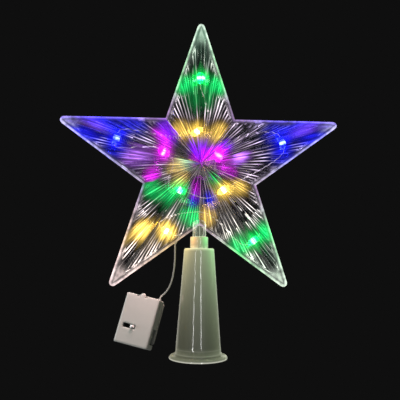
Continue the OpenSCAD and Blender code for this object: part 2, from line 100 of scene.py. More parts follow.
class Ghost(Enum):
    """Colours of the painted patches of light that stand in for what the facets bend out of the
    lights.
    """

    AMBER = "#FFD060"
    OLIVE = "#D9B86A"
    ORANGE = "#FF9A28"
    GREEN = "#04D264"
    PALE_GREEN = "#9CE0B4"
    PINK = "#E010EC"
    VIOLET = "#7C0CF0"
    LAVENDER = "#B66CF2"
    BLUE = "#0A12FF"


class Half(Enum):
    """The two halves of the star, by the way that each one faces along Y."""

    FRONT = -1.0
    REAR = 1.0


class Station(NamedTuple):
    """A place that the wire passes, with or without a light.

    Its turn and heading are degrees. Its share and bend are shares of the way
    to a point's centre, and its depth is one of the star's half depth.
    """

    turn: float
    share: float
    depth: float
    heading: float
    bend: float
    colour: LightColour | None


def linear(colour: str) -> tuple[float, float, float, float]:
    """Turns an sRGB hex colour into a linear one.

    Args:
        colour: Colour as a hash sign and six hex digits.

    Returns:
        Red, green, blue and an alpha of 1.
    """
    shares = [int(colour[i:i + 2], 16) / 255 for i in (1, 3, 5)]
    red, green, blue = (
        share / 12.92 if share <= 0.04045 else ((share + 0.055) / 1.055) ** 2.4
        for share in shares
    )
    return red, green, blue, 1.0


def add(
        tree: NodeTree, kind: str, links: dict | None = None, **settings) -> NodeSocket | None:
    """Adds a node to a tree, with its settings and what feeds it.

    Args:
        tree: Tree that gets the node.
        kind: Type name of the node.
        links: Input name or number to a plain value or to the socket that feeds it.
        settings: Properties of the node.

    Returns:
        The node's first output, or None where it has none.
    """
    node = tree.nodes.new(kind)
    for key, value in settings.items():
        setattr(node, key, value)
    for key, value in (links or {}).items():
        if isinstance(value, NodeSocket):
            tree.links.new(value, node.inputs[key])
        else:
            node.inputs[key].default_value = value
    return node.outputs[0] if len(node.outputs) else None


def reckon(tree: NodeTree, values: dict, steps: tuple) -> None:
    """Works out a table of sums, one after the other.

    Args:
        tree: Tree that gets the sums.
        values: Sockets by name, which each step adds to.
        steps: Name of the result, the sum's operation and its terms: names or numbers.
    """
    for name, operation, *terms in steps:
        links = {
            i: values[term] if isinstance(term, str) else term for i, term in enumerate(terms)}
        values[name] = add(tree, "ShaderNodeMath", links, operation=operation)


def new_object(name: str, data: ID) -> Object:
    """Puts data into the scene as an object at the origin.

    Args:
        name: Name of the object.
        data: Its mesh, with its place in its points, or its curve, camera or lamp.

    Returns:
        The object.
    """
    data.name = name
    made = bpy.data.objects.new(name, data)
    bpy.context.scene.collection.objects.link(made)
    return made


def smooth(mesh: Mesh, sharp_from: float) -> None:
    """Shades a mesh smooth, apart from its sharper edges.

    Args:
        mesh: Mesh to shade.
        sharp_from: Least angle between two faces that stays sharp, in degrees.
    """
    mesh.shade_smooth()
    mesh.set_sharp_from_angle(angle=math.radians(sharp_from))


@contextmanager
def reshaped(mesh: Mesh) -> Iterator[bmesh.types.BMesh]:
    """Opens a mesh for changes and writes them back at the end.

    Args:
        mesh: Mesh to change.

    Yields:
        Its shape.
    """
    shape = bmesh.new()
    shape.from_mesh(mesh)
    yield shape
    shape.to_mesh(mesh)
    shape.free()


def note(mesh: Mesh, name: str, values: list[float]) -> None:
    """Stores a number on each point of a mesh.

    Args:
        mesh: Mesh that gets the attribute.
        name: Name of the attribute.
        values: One number for each point.
    """
    store = mesh.attributes.new(name, "FLOAT", "POINT")
    store.data.foreach_set("value", values)


def grown(name: str, seed_data: ID, tree: NodeTree, inputs: dict) -> Object:
    """Runs a node tree on what it starts from and keeps what it makes as a plain mesh.

    Args:
        name: Name of the piece.
        seed_data: Mesh, points or curves that the tree starts from.
        tree: Tree to run.
        inputs: Values of the tree's named inputs.

    Returns:
        The piece, with no modifier left on it.
    """
    seed = new_object(name + "_seed", seed_data)
    modifier = seed.modifiers.new("grow", "NODES")
    modifier.node_group = tree
    for item in tree.interface.items_tree:
        if item.in_out == "INPUT" and item.name in inputs:
            modifier[item.identifier] = inputs[item.name]
    graph = bpy.context.evaluated_depsgraph_get()
    mesh = bpy.data.meshes.new_from_object(seed.evaluated_get(graph), depsgraph=graph)
    seed.modifiers.clear()
    bpy.data.objects.remove(seed)
    return new_object(name, mesh)


def new_tree(name: str, sizes: tuple[str, ...]) -> tuple[NodeTree, dict]:
    """Starts a geometry tree with a mesh coming in, named sizes and a material.

    Args:
        name: Name of the tree.
        sizes: Names of the sizes that it takes.

    Returns:
        The tree and its incoming sockets by name.
    """
    tree = bpy.data.node_groups.new(name, "GeometryNodeTree")
    tree.interface.new_socket("Mesh", in_out="INPUT", socket_type="NodeSocketGeometry")
    for size in sizes:
        tree.interface.new_socket(size, in_out="INPUT", socket_type="NodeSocketFloat")
    tree.interface.new_socket("Material", in_out="INPUT", socket_type="NodeSocketMaterial")
    tree.interface.new_socket("Mesh", in_out="OUTPUT", socket_type="NodeSocketGeometry")
    entry = add(tree, "NodeGroupInput").node
    return tree, {socket.name: socket for socket in entry.outputs if socket.name}


def turned(tree: NodeTree, points: NodeSocket, block: NodeSocket) -> NodeSocket:
    """Sets a block on each point, turned to the point's heading in the plane of the star.

    Args:
        tree: Tree that gets the steps.
        points: Points with a heading attribute.
        block: What is set on them.

    Returns:
        The instances.
    """
    turn = add(tree, "GeometryNodeInputNamedAttribute", {"Name": "heading"}, data_type="FLOAT")
    back = add(tree, "ShaderNodeMath", {0: turn, 1: -1.0}, operation="MULTIPLY")
    lie = add(tree, "ShaderNodeCombineXYZ", {1: back})
    return add(tree, "GeometryNodeInstanceOnPoints", {
        "Points": points, "Instance": block, "Rotation": lie})


def close_tree(tree: NodeTree, shape: NodeSocket, material: NodeSocket) -> None:
    """Ends a geometry tree: instances become real and get their material.

    Args:
        tree: Tree to end.
        shape: Socket with the finished shape.
        material: Socket with the material.
    """
    real = add(tree, "GeometryNodeRealizeInstances", {0: shape})
    dressed = add(tree, "GeometryNodeSetMaterial", {"Geometry": real, "Material": material})
    add(tree, "NodeGroupOutput", {0: dressed})


def point_mesh(name: str, spots: list[Vector], headings: list[float]) -> Mesh:
    """Makes loose points that each know a heading.

    Args:
        name: Name of the mesh.
        spots: Places of the points in metres.
        headings: Turn of each point in the plane of the star, in degrees.

    Returns:
        Mesh of points with a heading attribute in radians.
    """
    mesh = bpy.data.meshes.new(name)
    mesh.from_pydata(spots, [], [])
    note(mesh, "heading", [math.radians(heading) for heading in headings])
    return mesh


def outline(shape: bmesh.types.BMesh) -> list[bmesh.types.BMEdge]:
    """Finds the edges round the largest flat side of a solid, without those of its windows.

    Args:
        shape: Shape of the solid.

    Returns:
        The edges, one after the other.
    """
    widest = max(shape.faces, key=lambda face: face.calc_area())
    across = widest.normal
    level = widest.calc_center_median().dot(across)
    same_way = 0.999
    same_level = 0.01 * MM
    side = [
        face for face in shape.faces
        if face.normal.dot(across) > same_way
        and abs(face.calc_center_median().dot(across) - level) < same_level
    ]
    rim = [edge for edge in shape.edges if sum(face in side for face in edge.link_faces) == 1]
    loops = []
    while rim:
        loop = [rim.pop(0)]
        for edge in loop:
            beside = [other for vert in edge.verts for other in vert.link_edges if other in rim]
            for other in beside:
                rim.remove(other)
                loop.append(other)
        loops.append(loop)
    return max(loops, key=lambda loop: sum(edge.calc_length() for edge in loop))


def softened(node: str, name: str, bevel: float, sharp_from: float = 35.0) -> Object:
    """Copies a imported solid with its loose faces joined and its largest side's edges eased.

    Args:
        node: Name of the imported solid.
        name: Name of the piece that replaces it.
        bevel: Width of the eased edges in millimetres, or 0 for none.
        sharp_from: Least angle of an edge that stays sharp, in degrees.

    Returns:
        The piece, which replaces the solid.
    """
    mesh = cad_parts[node].data.copy()
    mesh.materials.clear()
    same_plane = math.radians(1.0)
    flat_from = 15.0 * MM * MM
    with reshaped(mesh) as shape:
        bmesh.ops.remove_doubles(shape, verts=shape.verts, dist=WELD * MM)
        if bevel:
            bmesh.ops.dissolve_limit(
                shape, angle_limit=same_plane, verts=shape.verts, edges=shape.edges)
            bmesh.ops.bevel(
                shape, geom=outline(shape), offset=bevel * MM, segments=3, profile=0.5,
                affect="EDGES", clamp_overlap=False)
    smooth(mesh, sharp_from)
    for face in mesh.polygons:
        if bevel and face.area > flat_from:
            face.use_smooth = False
    piece = new_object(name, mesh)
    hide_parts(node)
    return piece


def paint(node: str, finish: Material) -> None:
    """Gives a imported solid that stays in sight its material.

    Args:
        node: Name of the solid.
        finish: Its material.
    """
    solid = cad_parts[node]
    if not solid.material_slots:
        solid.data.materials.append(None)
    for slot in solid.material_slots:
        slot.link = "OBJECT"
        slot.material = finish


@dataclass(frozen=True)
class Finish:
    """What every finish has: a name and a way to start and end its material."""

    name: str

    def start(self) -> tuple[NodeTree, NodeSocket]:
        """Makes the material with an empty node tree.

        Returns:
            The tree and the place on the piece that its patterns follow.
        """
        material = bpy.data.materials.new(self.name)
        material.use_nodes = True
        tree = material.node_tree
        tree.nodes.clear()
        return tree, add(tree, "ShaderNodeTexCoord").node.outputs["Object"]

    def end(self, tree: NodeTree, shader: NodeSocket) -> Material:
        """Links the shader to the output.

        Args:
            tree: The material's tree.
            shader: Shader of its surface.

        Returns:
            The finished material.
        """
        add(tree, "ShaderNodeOutputMaterial", {"Surface": shader})
        material = bpy.data.materials[self.name]
        material.cycles.emission_sampling = "NONE"
        return material


@dataclass(frozen=True)
class ClearStyrene(Finish):
    """General purpose polystyrene, injection moulded: water clear where it is
    polished, milky with a fine stipple where the mould was blasted, and drawn
    over with painted bright hair lines and a painted glow, sent out as emission,
    that stand in for the lights inside caught in its flutes."""

    middle_z: float
    tint: str = "#F6F7FC"
    shadow: str = "#EFEFF1"
    ior: float = 1.57
    polish: float = 0.02
    blasted: float = 0.42
    milk: float = 0.05
    grain: float = 0.7
    # From here on the fields set the painted light: its hair lines, their patches, the glow between
    # them and the far glow.
    line_turn: float = 0.051
    line_w: float = 0.23
    line_from: float = 9.0
    line_join: float = 21.0
    line_split: float = 46.0
    line_gain: float = 2.6
    patches: float = 130.0
    patch_l: float = 26.0
    side_gap: float = 9.0
    caught_from: float = 0.45
    veiled_from: float = 0.4
    full_from: float = 0.62
    glow_veil: float = 0.6
    gap_from: float = 14.0
    gap_to: float = 28.0
    gap_low: float = 0.05
    gap_high: float = 0.3
    frost_share: float = 0.3
    drift: float = 13.0
    glow_mottle: float = 3.5
    far_gain: float = 8.5
    inside: float = 0.25

    def material(self) -> Material:
        """Makes the material from the attributes of its piece.

        It is milky by the frost attribute, and the halo and far attributes are
        painted light that it sends out as emission, along the lines that the
        flute attribute counts.

        Returns:
            The material.
        """
        tree, spot = self.start()
        values = {
            name: add(tree, "ShaderNodeAttribute", attribute_name=name).node.outputs["Fac"]
            for name in ("frost", "flute")
        }
        values["stipple"] = add(tree, "ShaderNodeTexNoise", {
            "Vector": spot, "Scale": 1 / (self.grain * MM), "Detail": 1.0})
        place = add(tree, "ShaderNodeSeparateXYZ", {0: spot}).node
        values.update(x=place.outputs["X"], y=place.outputs["Y"], z=place.outputs["Z"])
        reckon(tree, values, (
            ("lift", "MULTIPLY", "stipple", "frost"),
            ("up", "SUBTRACT", "z", self.middle_z * MM),
            ("heading", "ARCTAN2", "up", "x"),
            ("up_square", "MULTIPLY", "up", "up"),
            ("reach_square", "MULTIPLY_ADD", "x", "x", "up_square"),
            ("reach", "SQRT", "reach_square"),
            ("patch", "MULTIPLY", "heading", self.patches / (2 * math.pi)),
            ("along", "DIVIDE", "reach", self.patch_l * MM),
            ("side", "SIGN", "y"),
            ("layer", "MULTIPLY", "side", self.side_gap),
        ))
        comb = add(tree, "ShaderNodeCombineXYZ", {
            0: values["patch"], 1: values["along"], 2: values["layer"]})
        patchy = add(tree, "ShaderNodeTexNoise", {
            "Vector": comb, "Scale": 1.0, "Detail": 2.0, "Roughness": 0.6})
        gap = add(tree, "ShaderNodeMapRange", {
            "Value": values["reach"],
            "From Min": self.gap_from * MM, "From Max": self.gap_to * MM,
            "To Min": self.gap_low * self.glow_veil, "To Max": self.gap_high * self.glow_veil})
        for name, start, least, most in (
            ("catch", self.caught_from, 0.0, 1.0),
            ("glow_veil", self.veiled_from, gap, self.glow_veil),
        ):
            values[name] = add(tree, "ShaderNodeMapRange", {
                "Value": patchy, "From Min": start, "From Max": self.full_from,
                "To Min": least, "To Max": most})
        for name, size, detail, start, stop, least, most in (
            ("drift", self.drift, 1.0, 0.4, 0.6, 0.55, 1.4),
            ("glow_mottle", self.glow_mottle, 2.0, 0.38, 0.62, 0.45, 1.35),
        ):
            noise = add(tree, "ShaderNodeTexNoise", {
                "Vector": spot, "Scale": 1 / (size * MM), "Detail": detail})
            values[name] = add(tree, "ShaderNodeMapRange", {
                "Value": noise, "From Min": start, "From Max": stop,
                "To Min": least, "To Max": most})
        # The painted glow is dimmer on faces seen from behind.
        values["behind"] = add(tree, "ShaderNodeNewGeometry").node.outputs["Backfacing"]
        reckon(tree, values, (
            ("fluted", "GREATER_THAN", "flute", UNFLUTED / 2),
            ("outer", "GREATER_THAN", "reach", self.line_split * MM),
            ("inner", "LESS_THAN", "reach", self.line_join * MM),
            ("split", "ADD", "outer", 1.0),
            ("finer", "MULTIPLY_ADD", "inner", -0.5, "split"),
            ("fine_flute", "MULTIPLY", "flute", "finer"),
            ("off", "PINGPONG", "fine_flute", 0.5),
            ("reach_clear", "MAXIMUM", "reach", self.line_from * MM),
            ("fan", "DIVIDE", "reach_clear", "finer"),
            ("off_line", "MULTIPLY", "off", "fan"),
            ("share", "MULTIPLY", "off_line", self.line_turn / (self.line_w * MM)),
            *BELL,
            ("line", "MULTIPLY", "bell", "fluted"),
            ("caught", "MULTIPLY", "line", "catch"),
            ("halo_line", "MULTIPLY_ADD", "caught", self.line_gain, "glow_veil"),
            ("halo_share", "MULTIPLY_ADD", "frost", self.frost_share, "halo_line"),
            ("drifting", "MULTIPLY", "caught", "drift"),
            ("far_line", "MULTIPLY", "drifting", self.far_gain),
            ("far_share", "MULTIPLY_ADD", "frost", "glow_mottle", "far_line"),
            ("shown", "MULTIPLY_ADD", "behind", self.inside - 1.0, 1.0),
        ))
        # The halo and far attributes, scaled along the lines, are the painted light sent out as
        # emission.
        near_light, far_light = (
            add(tree, "ShaderNodeVectorMath", {
                0: add(tree, "ShaderNodeAttribute", attribute_name=name),
                "Scale": values[name + "_share"]}, operation="SCALE")
            for name in ("halo", "far")
        )
        light = add(tree, "ShaderNodeVectorMath", {0: near_light, 1: far_light}, operation="ADD")
        bump = add(tree, "ShaderNodeBump", {
            "Height": values["lift"], "Strength": 0.5, "Distance": 0.1 * MM})
        rough, clear = (
            add(tree, "ShaderNodeMapRange", {
                "Value": values["frost"], "To Min": polished, "To Max": milky})
            for polished, milky in ((self.polish, self.blasted), (1.0, 1.0 - self.milk))
        )
        plastic = add(tree, "ShaderNodeBsdfPrincipled", {
            "Base Color": linear(self.tint), "IOR": self.ior, "Roughness": rough,
            "Transmission Weight": clear, "Normal": bump, "Emission Color": light,
            "Emission Strength": values["shown"]})
        window = add(tree, "ShaderNodeBsdfTransparent", {"Color": linear(self.shadow)})
        lamp_ray = add(tree, "ShaderNodeLightPath").node.outputs["Is Shadow Ray"]
        return self.end(tree, add(tree, "ShaderNodeMixShader", {
            0: lamp_ray, 1: plastic, 2: window}))


@dataclass(frozen=True)
class FrostedPropylene(Finish):
    """Natural polypropylene, injection moulded: a dim olive milk with painted
    light that stands in for the lights above soaking into it, and bright lines
    painted at its rims, under a polished skin that draws lamps out into thin
    lines and turns pale where it is seen edge on."""

    colour: str = "#3E3F34"
    cloud: str = "#37382E"
    # Tint of the painted light soaked into the milk, from the halo attribute.
    depth: str = "#FCFFE2"
    # Colour of the painted highlight lines at the rims, and of the sheen.
    edge: str = "#FFFFEE"
    roughness: float = 0.5
    cloud_size: float = 22.0
    grain: float = 0.5

    # Height, width and gain of each rim where a bright line is painted as a highlight.
    PAINTED_RIM_LINES = ((0.3, 0.5, 0.5), (3.4, 0.3, 0.05), (6.2, 0.25, 0.05), (69.0, 0.4, 0.1))

    def material(self) -> Material:
        """Makes the material with slow clouds, a fine grain, its painted halo and its painted rim
        lines.

        Returns:
            The material.
        """
        tree, spot = self.start()
        clouds, grain = (
            add(tree, "ShaderNodeTexNoise", {
                "Vector": spot, "Scale": 1 / (size * MM), "Detail": 2.0})
            for size in (self.cloud_size, self.grain)
        )
        colour = add(tree, "ShaderNodeMix", {
            0: clouds, 6: linear(self.cloud), 7: linear(self.colour)},
            data_type="RGBA").node.outputs[2]
        bump = add(tree, "ShaderNodeBump", {
            "Height": grain, "Strength": 0.05, "Distance": 0.05 * MM})
        halo = add(tree, "ShaderNodeAttribute", attribute_name="halo").node.outputs["Vector"]
        painted_soak = add(tree, "ShaderNodeVectorMath", {
            0: halo, 1: linear(self.depth)[:3]}, operation="MULTIPLY")
        height_z = add(tree, "ShaderNodeSeparateXYZ", {0: spot}).node.outputs["Z"]
        values = {"z": height_z, "rims": 0.0}
        for height, width, gain in self.PAINTED_RIM_LINES:
            reckon(tree, values, (
                ("off", "SUBTRACT", "z", height * MM),
                ("share", "DIVIDE", "off", width * MM),
                *BELL,
                ("rims", "MULTIPLY_ADD", "bell", gain, "rims"),
            ))
        # Painted highlights: bright lines round the rims, sent out as emission with the painted
        # soak.
        edges = add(tree, "ShaderNodeVectorMath", {
            0: linear(self.edge)[:3], "Scale": values["rims"]}, operation="SCALE")
        glow = add(tree, "ShaderNodeVectorMath", {0: painted_soak, 1: edges}, operation="ADD")
        skin = add(tree, "ShaderNodeBsdfPrincipled", {
            "Base Color": colour, "Roughness": self.roughness, "IOR": 1.49, "Normal": bump,
            "Subsurface Weight": 0.35, "Subsurface Radius": (1.0, 1.0, 0.85),
            "Subsurface Scale": 3 * MM, "Coat Weight": 1.0, "Coat Roughness": 0.03,
            "Sheen Weight": 1.0, "Sheen Roughness": 0.3, "Sheen Tint": linear(self.edge),
            "Emission Color": glow, "Emission Strength": 1.0})
        return self.end(tree, skin)


@dataclass(frozen=True)
class MouldedPlastic(Finish):
    """An opaque plastic moulding, such as ABS: an even colour that clouds a
    little, with the faint grain of a spark-eroded mould and corners that catch
    the light softly."""

    colour: str
    cloud: str
    roughness: float = 0.5
    cloud_size: float = 9.0
    grain: float = 0.35
    depth: float = 0.25
    uneven: float = 0.06
    corner: float = 0.0

    def material(self) -> Material:
        """Makes the material with its clouds, grain, uneven gloss and soft corners.

        Returns:
            The material.
        """
        tree, spot = self.start()
        clouds, grain = (
            add(tree, "ShaderNodeTexNoise", {
                "Vector": spot, "Scale": 1 / (size * MM), "Detail": 3.0})
            for size in (self.cloud_size, self.grain)
        )
        colour = add(tree, "ShaderNodeMix", {
            0: clouds, 6: linear(self.cloud), 7: linear(self.colour)},
            data_type="RGBA").node.outputs[2]
        gloss = add(tree, "ShaderNodeMapRange", {
            "Value": clouds, "To Min": self.roughness - self.uneven,
            "To Max": self.roughness + self.uneven})
        corners = add(tree, "ShaderNodeBevel", {"Radius": self.corner * MM}, samples=8)
        bump = add(tree, "ShaderNodeBump", {
            "Height": grain, "Strength": self.depth, "Distance": 0.05 * MM, "Normal": corners})
        plastic = add(tree, "ShaderNodeBsdfPrincipled", {
            "Base Color": colour, "Roughness": gloss, "Normal": bump})
        return self.end(tree, plastic)


@dataclass(frozen=True)
class PlatedMetal(Finish):
    """A plated metal, rolled or drawn: bright, with fine lines along its length."""

    colour: str
    roughness: float = 0.3
    uneven: float = 0.1
    line: float = 0.25

    def material(self) -> Material:
        """Makes the material with lines stretched along X.

        Returns:
            The material.
        """
        tree, spot = self.start()
        drawn = add(tree, "ShaderNodeMapping", {"Vector": spot, "Scale": (0.1, 1.0, 1.0)})
        lines = add(tree, "ShaderNodeTexNoise", {
            "Vector": drawn, "Scale": 1 / (self.line * MM), "Detail": 2.0})
        gloss = add(tree, "ShaderNodeMapRange", {
            "Value": lines, "To Min": self.roughness - self.uneven,
            "To Max": self.roughness + self.uneven})
        metal = add(tree, "ShaderNodeBsdfPrincipled", {
            "Base Color": linear(self.colour), "Metallic": 1.0, "Roughness": gloss})
        return self.end(tree, metal)


@dataclass(frozen=True)
class LitEnamel(Finish):
    """Copper wire dipped in pale enamel: a thin satin thread with a painted glow
    that stands in for the lights beside it falling on it."""

    colour: str
    glow: float = 5.0
    dim_glow_share: float = 0.4
    glow_run_l: float = 4.0

    def material(self) -> Material:
        """Makes the material with a painted glow from the far attribute, brighter and dimmer in
        runs along the wire.

        Returns:
            The material.
        """
        tree, spot = self.start()
        # Noise that makes the painted glow brighter and dimmer along the wire.
        runs = add(tree, "ShaderNodeTexNoise", {
            "Vector": spot, "Scale": 1 / (self.glow_run_l * MM), "Detail": 1.0})
        light = add(tree, "ShaderNodeMapRange", {
            "Value": runs, "From Min": 0.35, "From Max": 0.65,
            "To Min": self.dim_glow_share * self.glow, "To Max": self.glow})
        far = add(tree, "ShaderNodeAttribute", attribute_name="far")
        enamel = add(tree, "ShaderNodeBsdfPrincipled", {
            "Base Color": linear(self.colour), "Roughness": 0.35,
            "Emission Color": far, "Emission Strength": light})
        return self.end(tree, enamel)


@dataclass(frozen=True)
class LitResin(Finish):
    """Clear epoxy dropped on a light chip and cured: a glossy lens full of the
    chip's own colour, with the glare of the chip in its middle."""

    colour: str
    hot: str
    glow: float = 2.0
    dim_share: float = 0.35
    bright_share: float = 1.65
    swirl: float = 2.5
    glare: float = 20.0

    def material(self) -> Material:
        """Makes the material, lit unevenly by the swirls in the drop.

        Returns:
            The material.
        """
        tree, spot = self.start()
        swirl = add(tree, "ShaderNodeTexNoise", {
            "Vector": spot, "Scale": 1 / (self.swirl * MM), "Detail": 1.0})
        light = add(tree, "ShaderNodeMapRange", {
            "Value": swirl, "From Min": 0.3, "From Max": 0.7,
            "To Min": self.dim_share * self.glow, "To Max": self.bright_share * self.glow})
        core = add(tree, "ShaderNodeAttribute", attribute_name="core").node.outputs["Fac"]
        glare = add(tree, "ShaderNodeMath", {0: core, 1: self.glare}, operation="POWER")
        colour = add(tree, "ShaderNodeMix", {
            0: glare, 6: linear(self.colour), 7: linear(self.hot)},
            data_type="RGBA").node.outputs[2]
        resin = add(tree, "ShaderNodeBsdfPrincipled", {
            "Base Color": linear(self.colour), "Roughness": 0.12, "IOR": 1.5,
            "Transmission Weight": 0.7, "Emission Color": colour, "Emission Strength": light})
        return self.end(tree, resin)


@dataclass(frozen=True)
class HotChip(Finish):
    """A light chip at full current: its phosphor glares almost white."""

    colour: str
    glow: float = 18.0
    edge_share: float = 0.5
    die: float = 1.2

    def material(self) -> Material:
        """Makes the material, brightest in the middle of each die.

        Returns:
            The material.
        """
        tree, spot = self.start()
        dies = add(tree, "ShaderNodeTexVoronoi", {"Vector": spot, "Scale": 1 / (self.die * MM)})
        light = add(tree, "ShaderNodeMapRange", {
            "Value": dies, "To Min": self.glow, "To Max": self.edge_share * self.glow})
        chip = add(tree, "ShaderNodeBsdfPrincipled", {
            "Base Color": linear(self.colour), "Roughness": 0.4,
            "Emission Color": linear(self.colour), "Emission Strength": light})
        return self.end(tree, chip)


@dataclass
class Studio:
    """Camera, lamps, backdrop and floor."""

    lens: float = 50.0
    sensor: float = 36.0
    camera_at: tuple[float, float, float] = (-21.8, -355.9, 70.25)
    sight: tuple[float, float, float] = (0.0617, 0.9947, 0.0823)
    up: tuple[float, float, float] = (-0.0144, -0.0816, 0.9966)
    dark: str = "#0F0F0F"
    fill: str = "#D8DCE6"
    fill_strength: float = 0.08
    floor_z: float = -150.0
    floor_r: float = 380.0
    lined: Collection | None = None
    boxed: Collection | None = None

    # What the lamps face, in metres: the topper, the base's lower part, the star and the box.
    WHOLE = (0.0, 0.0, 0.1)
    LOW = (0.0, 0.0, 0.05)
    MIDDLE = (0.0, 0.0, 0.12)
    BOX = (-0.033, 0.003, 0.022)

    def place_camera(self) -> None:
        """Sets up the camera that the photograph was taken from."""
        data = bpy.data.cameras.new("view")
        data.lens = self.lens
        data.sensor_width = self.sensor
        data.clip_start = 0.01
        camera = new_object("view", data)
        ahead = Vector(self.sight).normalized()
        right = ahead.cross(Vector(self.up)).normalized()
        over = right.cross(ahead)
        turn = Matrix((right, over, -ahead)).transposed().to_4x4()
        camera.matrix_world = Matrix.Translation(Vector(self.camera_at) * MM) @ turn
        bpy.context.scene.camera = camera

    def hang_lamp(
            self, name: str, at: tuple, size: tuple, power: float, colour: str,
            only: Collection | None = None, aim: tuple = WHOLE, mirrored: bool = False) -> None:
        """Hangs one flat lamp.

        Args:
            name: Name of the lamp.
            at: Its place in metres.
            size: Width and height in metres.
            power: Power in watts.
            colour: Colour of its light.
            only: The pieces that it lights, or None for all.
            aim: The place that it faces, in metres.
            mirrored: Whether it is only a glint on glossy surfaces, or only a soft light.
        """
        data = bpy.data.lights.new(name, "AREA")
        data.shape = "RECTANGLE"
        data.size, data.size_y = size
        data.energy = power
        data.color = linear(colour)[:3]
        lamp = new_object(name, data)
        lamp.visible_diffuse = not mirrored
        lamp.visible_glossy = mirrored
        lamp.visible_transmission = False
        lamp.visible_camera = False
        if only:
            lamp.light_linking.receiver_collection = only
        lamp.location = at
        lamp.rotation_mode = "QUATERNION"
        lamp.rotation_quaternion = (Vector(aim) - Vector(at)).to_track_quat("-Z", "Y")

    def light(self) -> None:
        """Hangs the soft lamps, and those that line the base or edge the battery box."""
        self.lined = bpy.data.collections.new("lined_base")
        self.boxed = bpy.data.collections.new("edged_box")
        self.hang_lamp("key", (-0.45, -0.75, 0.75), (0.5, 0.5), 3.6, "#FFF7EC")
        self.hang_lamp("fill", (0.8, -0.5, 0.25), (0.6, 0.6), 0.05, "#EAF0FF")
        self.hang_lamp("top", (-0.2, 0.0, 0.9), (0.4, 0.4), 4.0, "#FFFFFF")
        for side, name, warm, cool, power in (
            (-1, "left", "#FFF6E4", "#FFF8E8", 7.0),
            (1, "right", "#FAFFEC", "#F8FFF0", 8.0),
        ):
            self.hang_lamp(
                "side_" + name, (0.6 * side, 0.25, 0.05), (0.3, 0.3), power, warm,
                self.lined, self.LOW)
            self.hang_lamp(
                "edge_" + name, (0.35 * side, 0.6, 0.05), (0.4, 0.4), 0.25, cool,
                self.lined, self.LOW, mirrored=True)
        for x in (-0.348, 0.113):
            self.hang_lamp(
                "strip", (x, -0.6, 0.12), (0.014, 0.64), 1.0, "#FFFFFF",
                self.lined, self.MIDDLE, mirrored=True)
        self.hang_lamp(
            "star_glow", (-0.025, 0.0, 0.09), (0.03, 0.03), 0.11, "#FFD4D4",
            self.boxed, self.BOX)
        self.hang_lamp(
            "box_left", (-0.8, 0.1, 0.1), (0.3, 0.3), 5.5, "#F0F4FF", self.boxed, self.BOX)

    def darken(self) -> None:
        """Makes the world a soft fill that is dark to the eye, in mirrors and through glass."""
        world = bpy.data.worlds.new("dim_room")
        bpy.context.scene.world = world
        world.use_nodes = True
        tree = world.node_tree
        tree.nodes.clear()
        path = add(tree, "ShaderNodeLightPath").node
        seen = path.outputs["Is Camera Ray"]
        for name in ("Is Glossy Ray", "Is Transmission Ray"):
            seen = add(tree, "ShaderNodeMath", {
                0: seen, 1: path.outputs[name]}, operation="MAXIMUM")
        lit, dark = (
            add(tree, "ShaderNodeBackground", {"Color": linear(colour), "Strength": strength})
            for colour, strength in ((self.fill, self.fill_strength), (self.dark, 1.0))
        )
        room = add(tree, "ShaderNodeMixShader", {0: seen, 1: lit, 2: dark})
        add(tree, "ShaderNodeOutputWorld", {0: room})

    def lay_floor(self) -> None:
        """Lays the plain pale floor below the topper."""
        mesh = bpy.data.meshes.new("floor")
        with reshaped(mesh) as shape:
            bmesh.ops.create_circle(
                shape, cap_ends=True, segments=96, radius=self.floor_r * MM,
                matrix=Matrix.Translation((0.0, 0.0, self.floor_z * MM)))
        paint_coat = MouldedPlastic(
            "floor_paint", "#D9D7D2", "#D3D1CC", roughness=0.8, cloud_size=90.0, grain=3.0,
            depth=0.1)
        mesh.materials.append(paint_coat.material())
        floor = new_object("floor", mesh)
        floor.visible_diffuse = False

    def build(self) -> None:
        """Builds the whole studio."""
        scene = bpy.context.scene
        scene.view_settings.view_transform = "Standard"
        self.place_camera()
        self.light()
        self.darken()
        self.lay_floor()
        log.info("studio: camera, lamps, backdrop and floor")


@dataclass
class BatteryLead:
    """The pale lead from the star's lower left arm down to the battery box."""

    diameter: float = 1.0
    length: float = 48.0
    jacket: MouldedPlastic = MouldedPlastic(
        "pvc_lead_jacket", "#EDECE6", "#E4E3DD", roughness=0.3, cloud_size=6.0, grain=0.6,
        depth=0.15)

    # Points that the lead passes, from inside the star's rim to inside the box.
    ROUTE = (
        (-11.85, 0.0, 77.55), (-14.8, 0.0, 72.44), (-15.1, 0.0, 71.92), (-15.4, 0.1, 70.9),
        (-15.4, 0.2, 69.4), (-15.4, 0.5, 67.5), (-15.4, 0.9, 65.1), (-15.4, 1.3, 62.4),
        (-15.5, 1.7, 59.5), (-15.7, 2.2, 56.6), (-16.1, 2.7, 53.4), (-16.6, 3.2, 50.2),
        (-17.4, 3.7, 47.0), (-18.5, 4.1, 44.1), (-19.9, 4.4, 41.6), (-21.5, 4.7, 39.7),
        (-23.0, 4.9, 38.5), (-24.2, 4.95, 37.23), (-24.7, 4.6, 35.33), (-25.23, 4.24, 33.33),
    )

    def build(self) -> Object:
        """Returns:
            The lead.
        """
        data = bpy.data.curves.new("battery_lead", "CURVE")
        data.dimensions = "3D"
        data.bevel_depth = self.diameter * MM / 2
        data.bevel_resolution = 4
        data.use_fill_caps = True
        data.resolution_u = 6
        line = data.splines.new("NURBS")
        line.points.add(len(self.ROUTE) - 1)
        for point, spot in zip(line.points, self.ROUTE):
            point.co = (*(MM * value for value in spot), 1.0)
        line.order_u = 3
        line.use_endpoint_u = True
        data.materials.append(self.jacket.material())
        lead = new_object("battery_lead_jacket", data)
        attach(lead, STAR)
        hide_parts("battery_lead")
        log.info("lead: %.0f mm of jacket", self.length)
        return lead


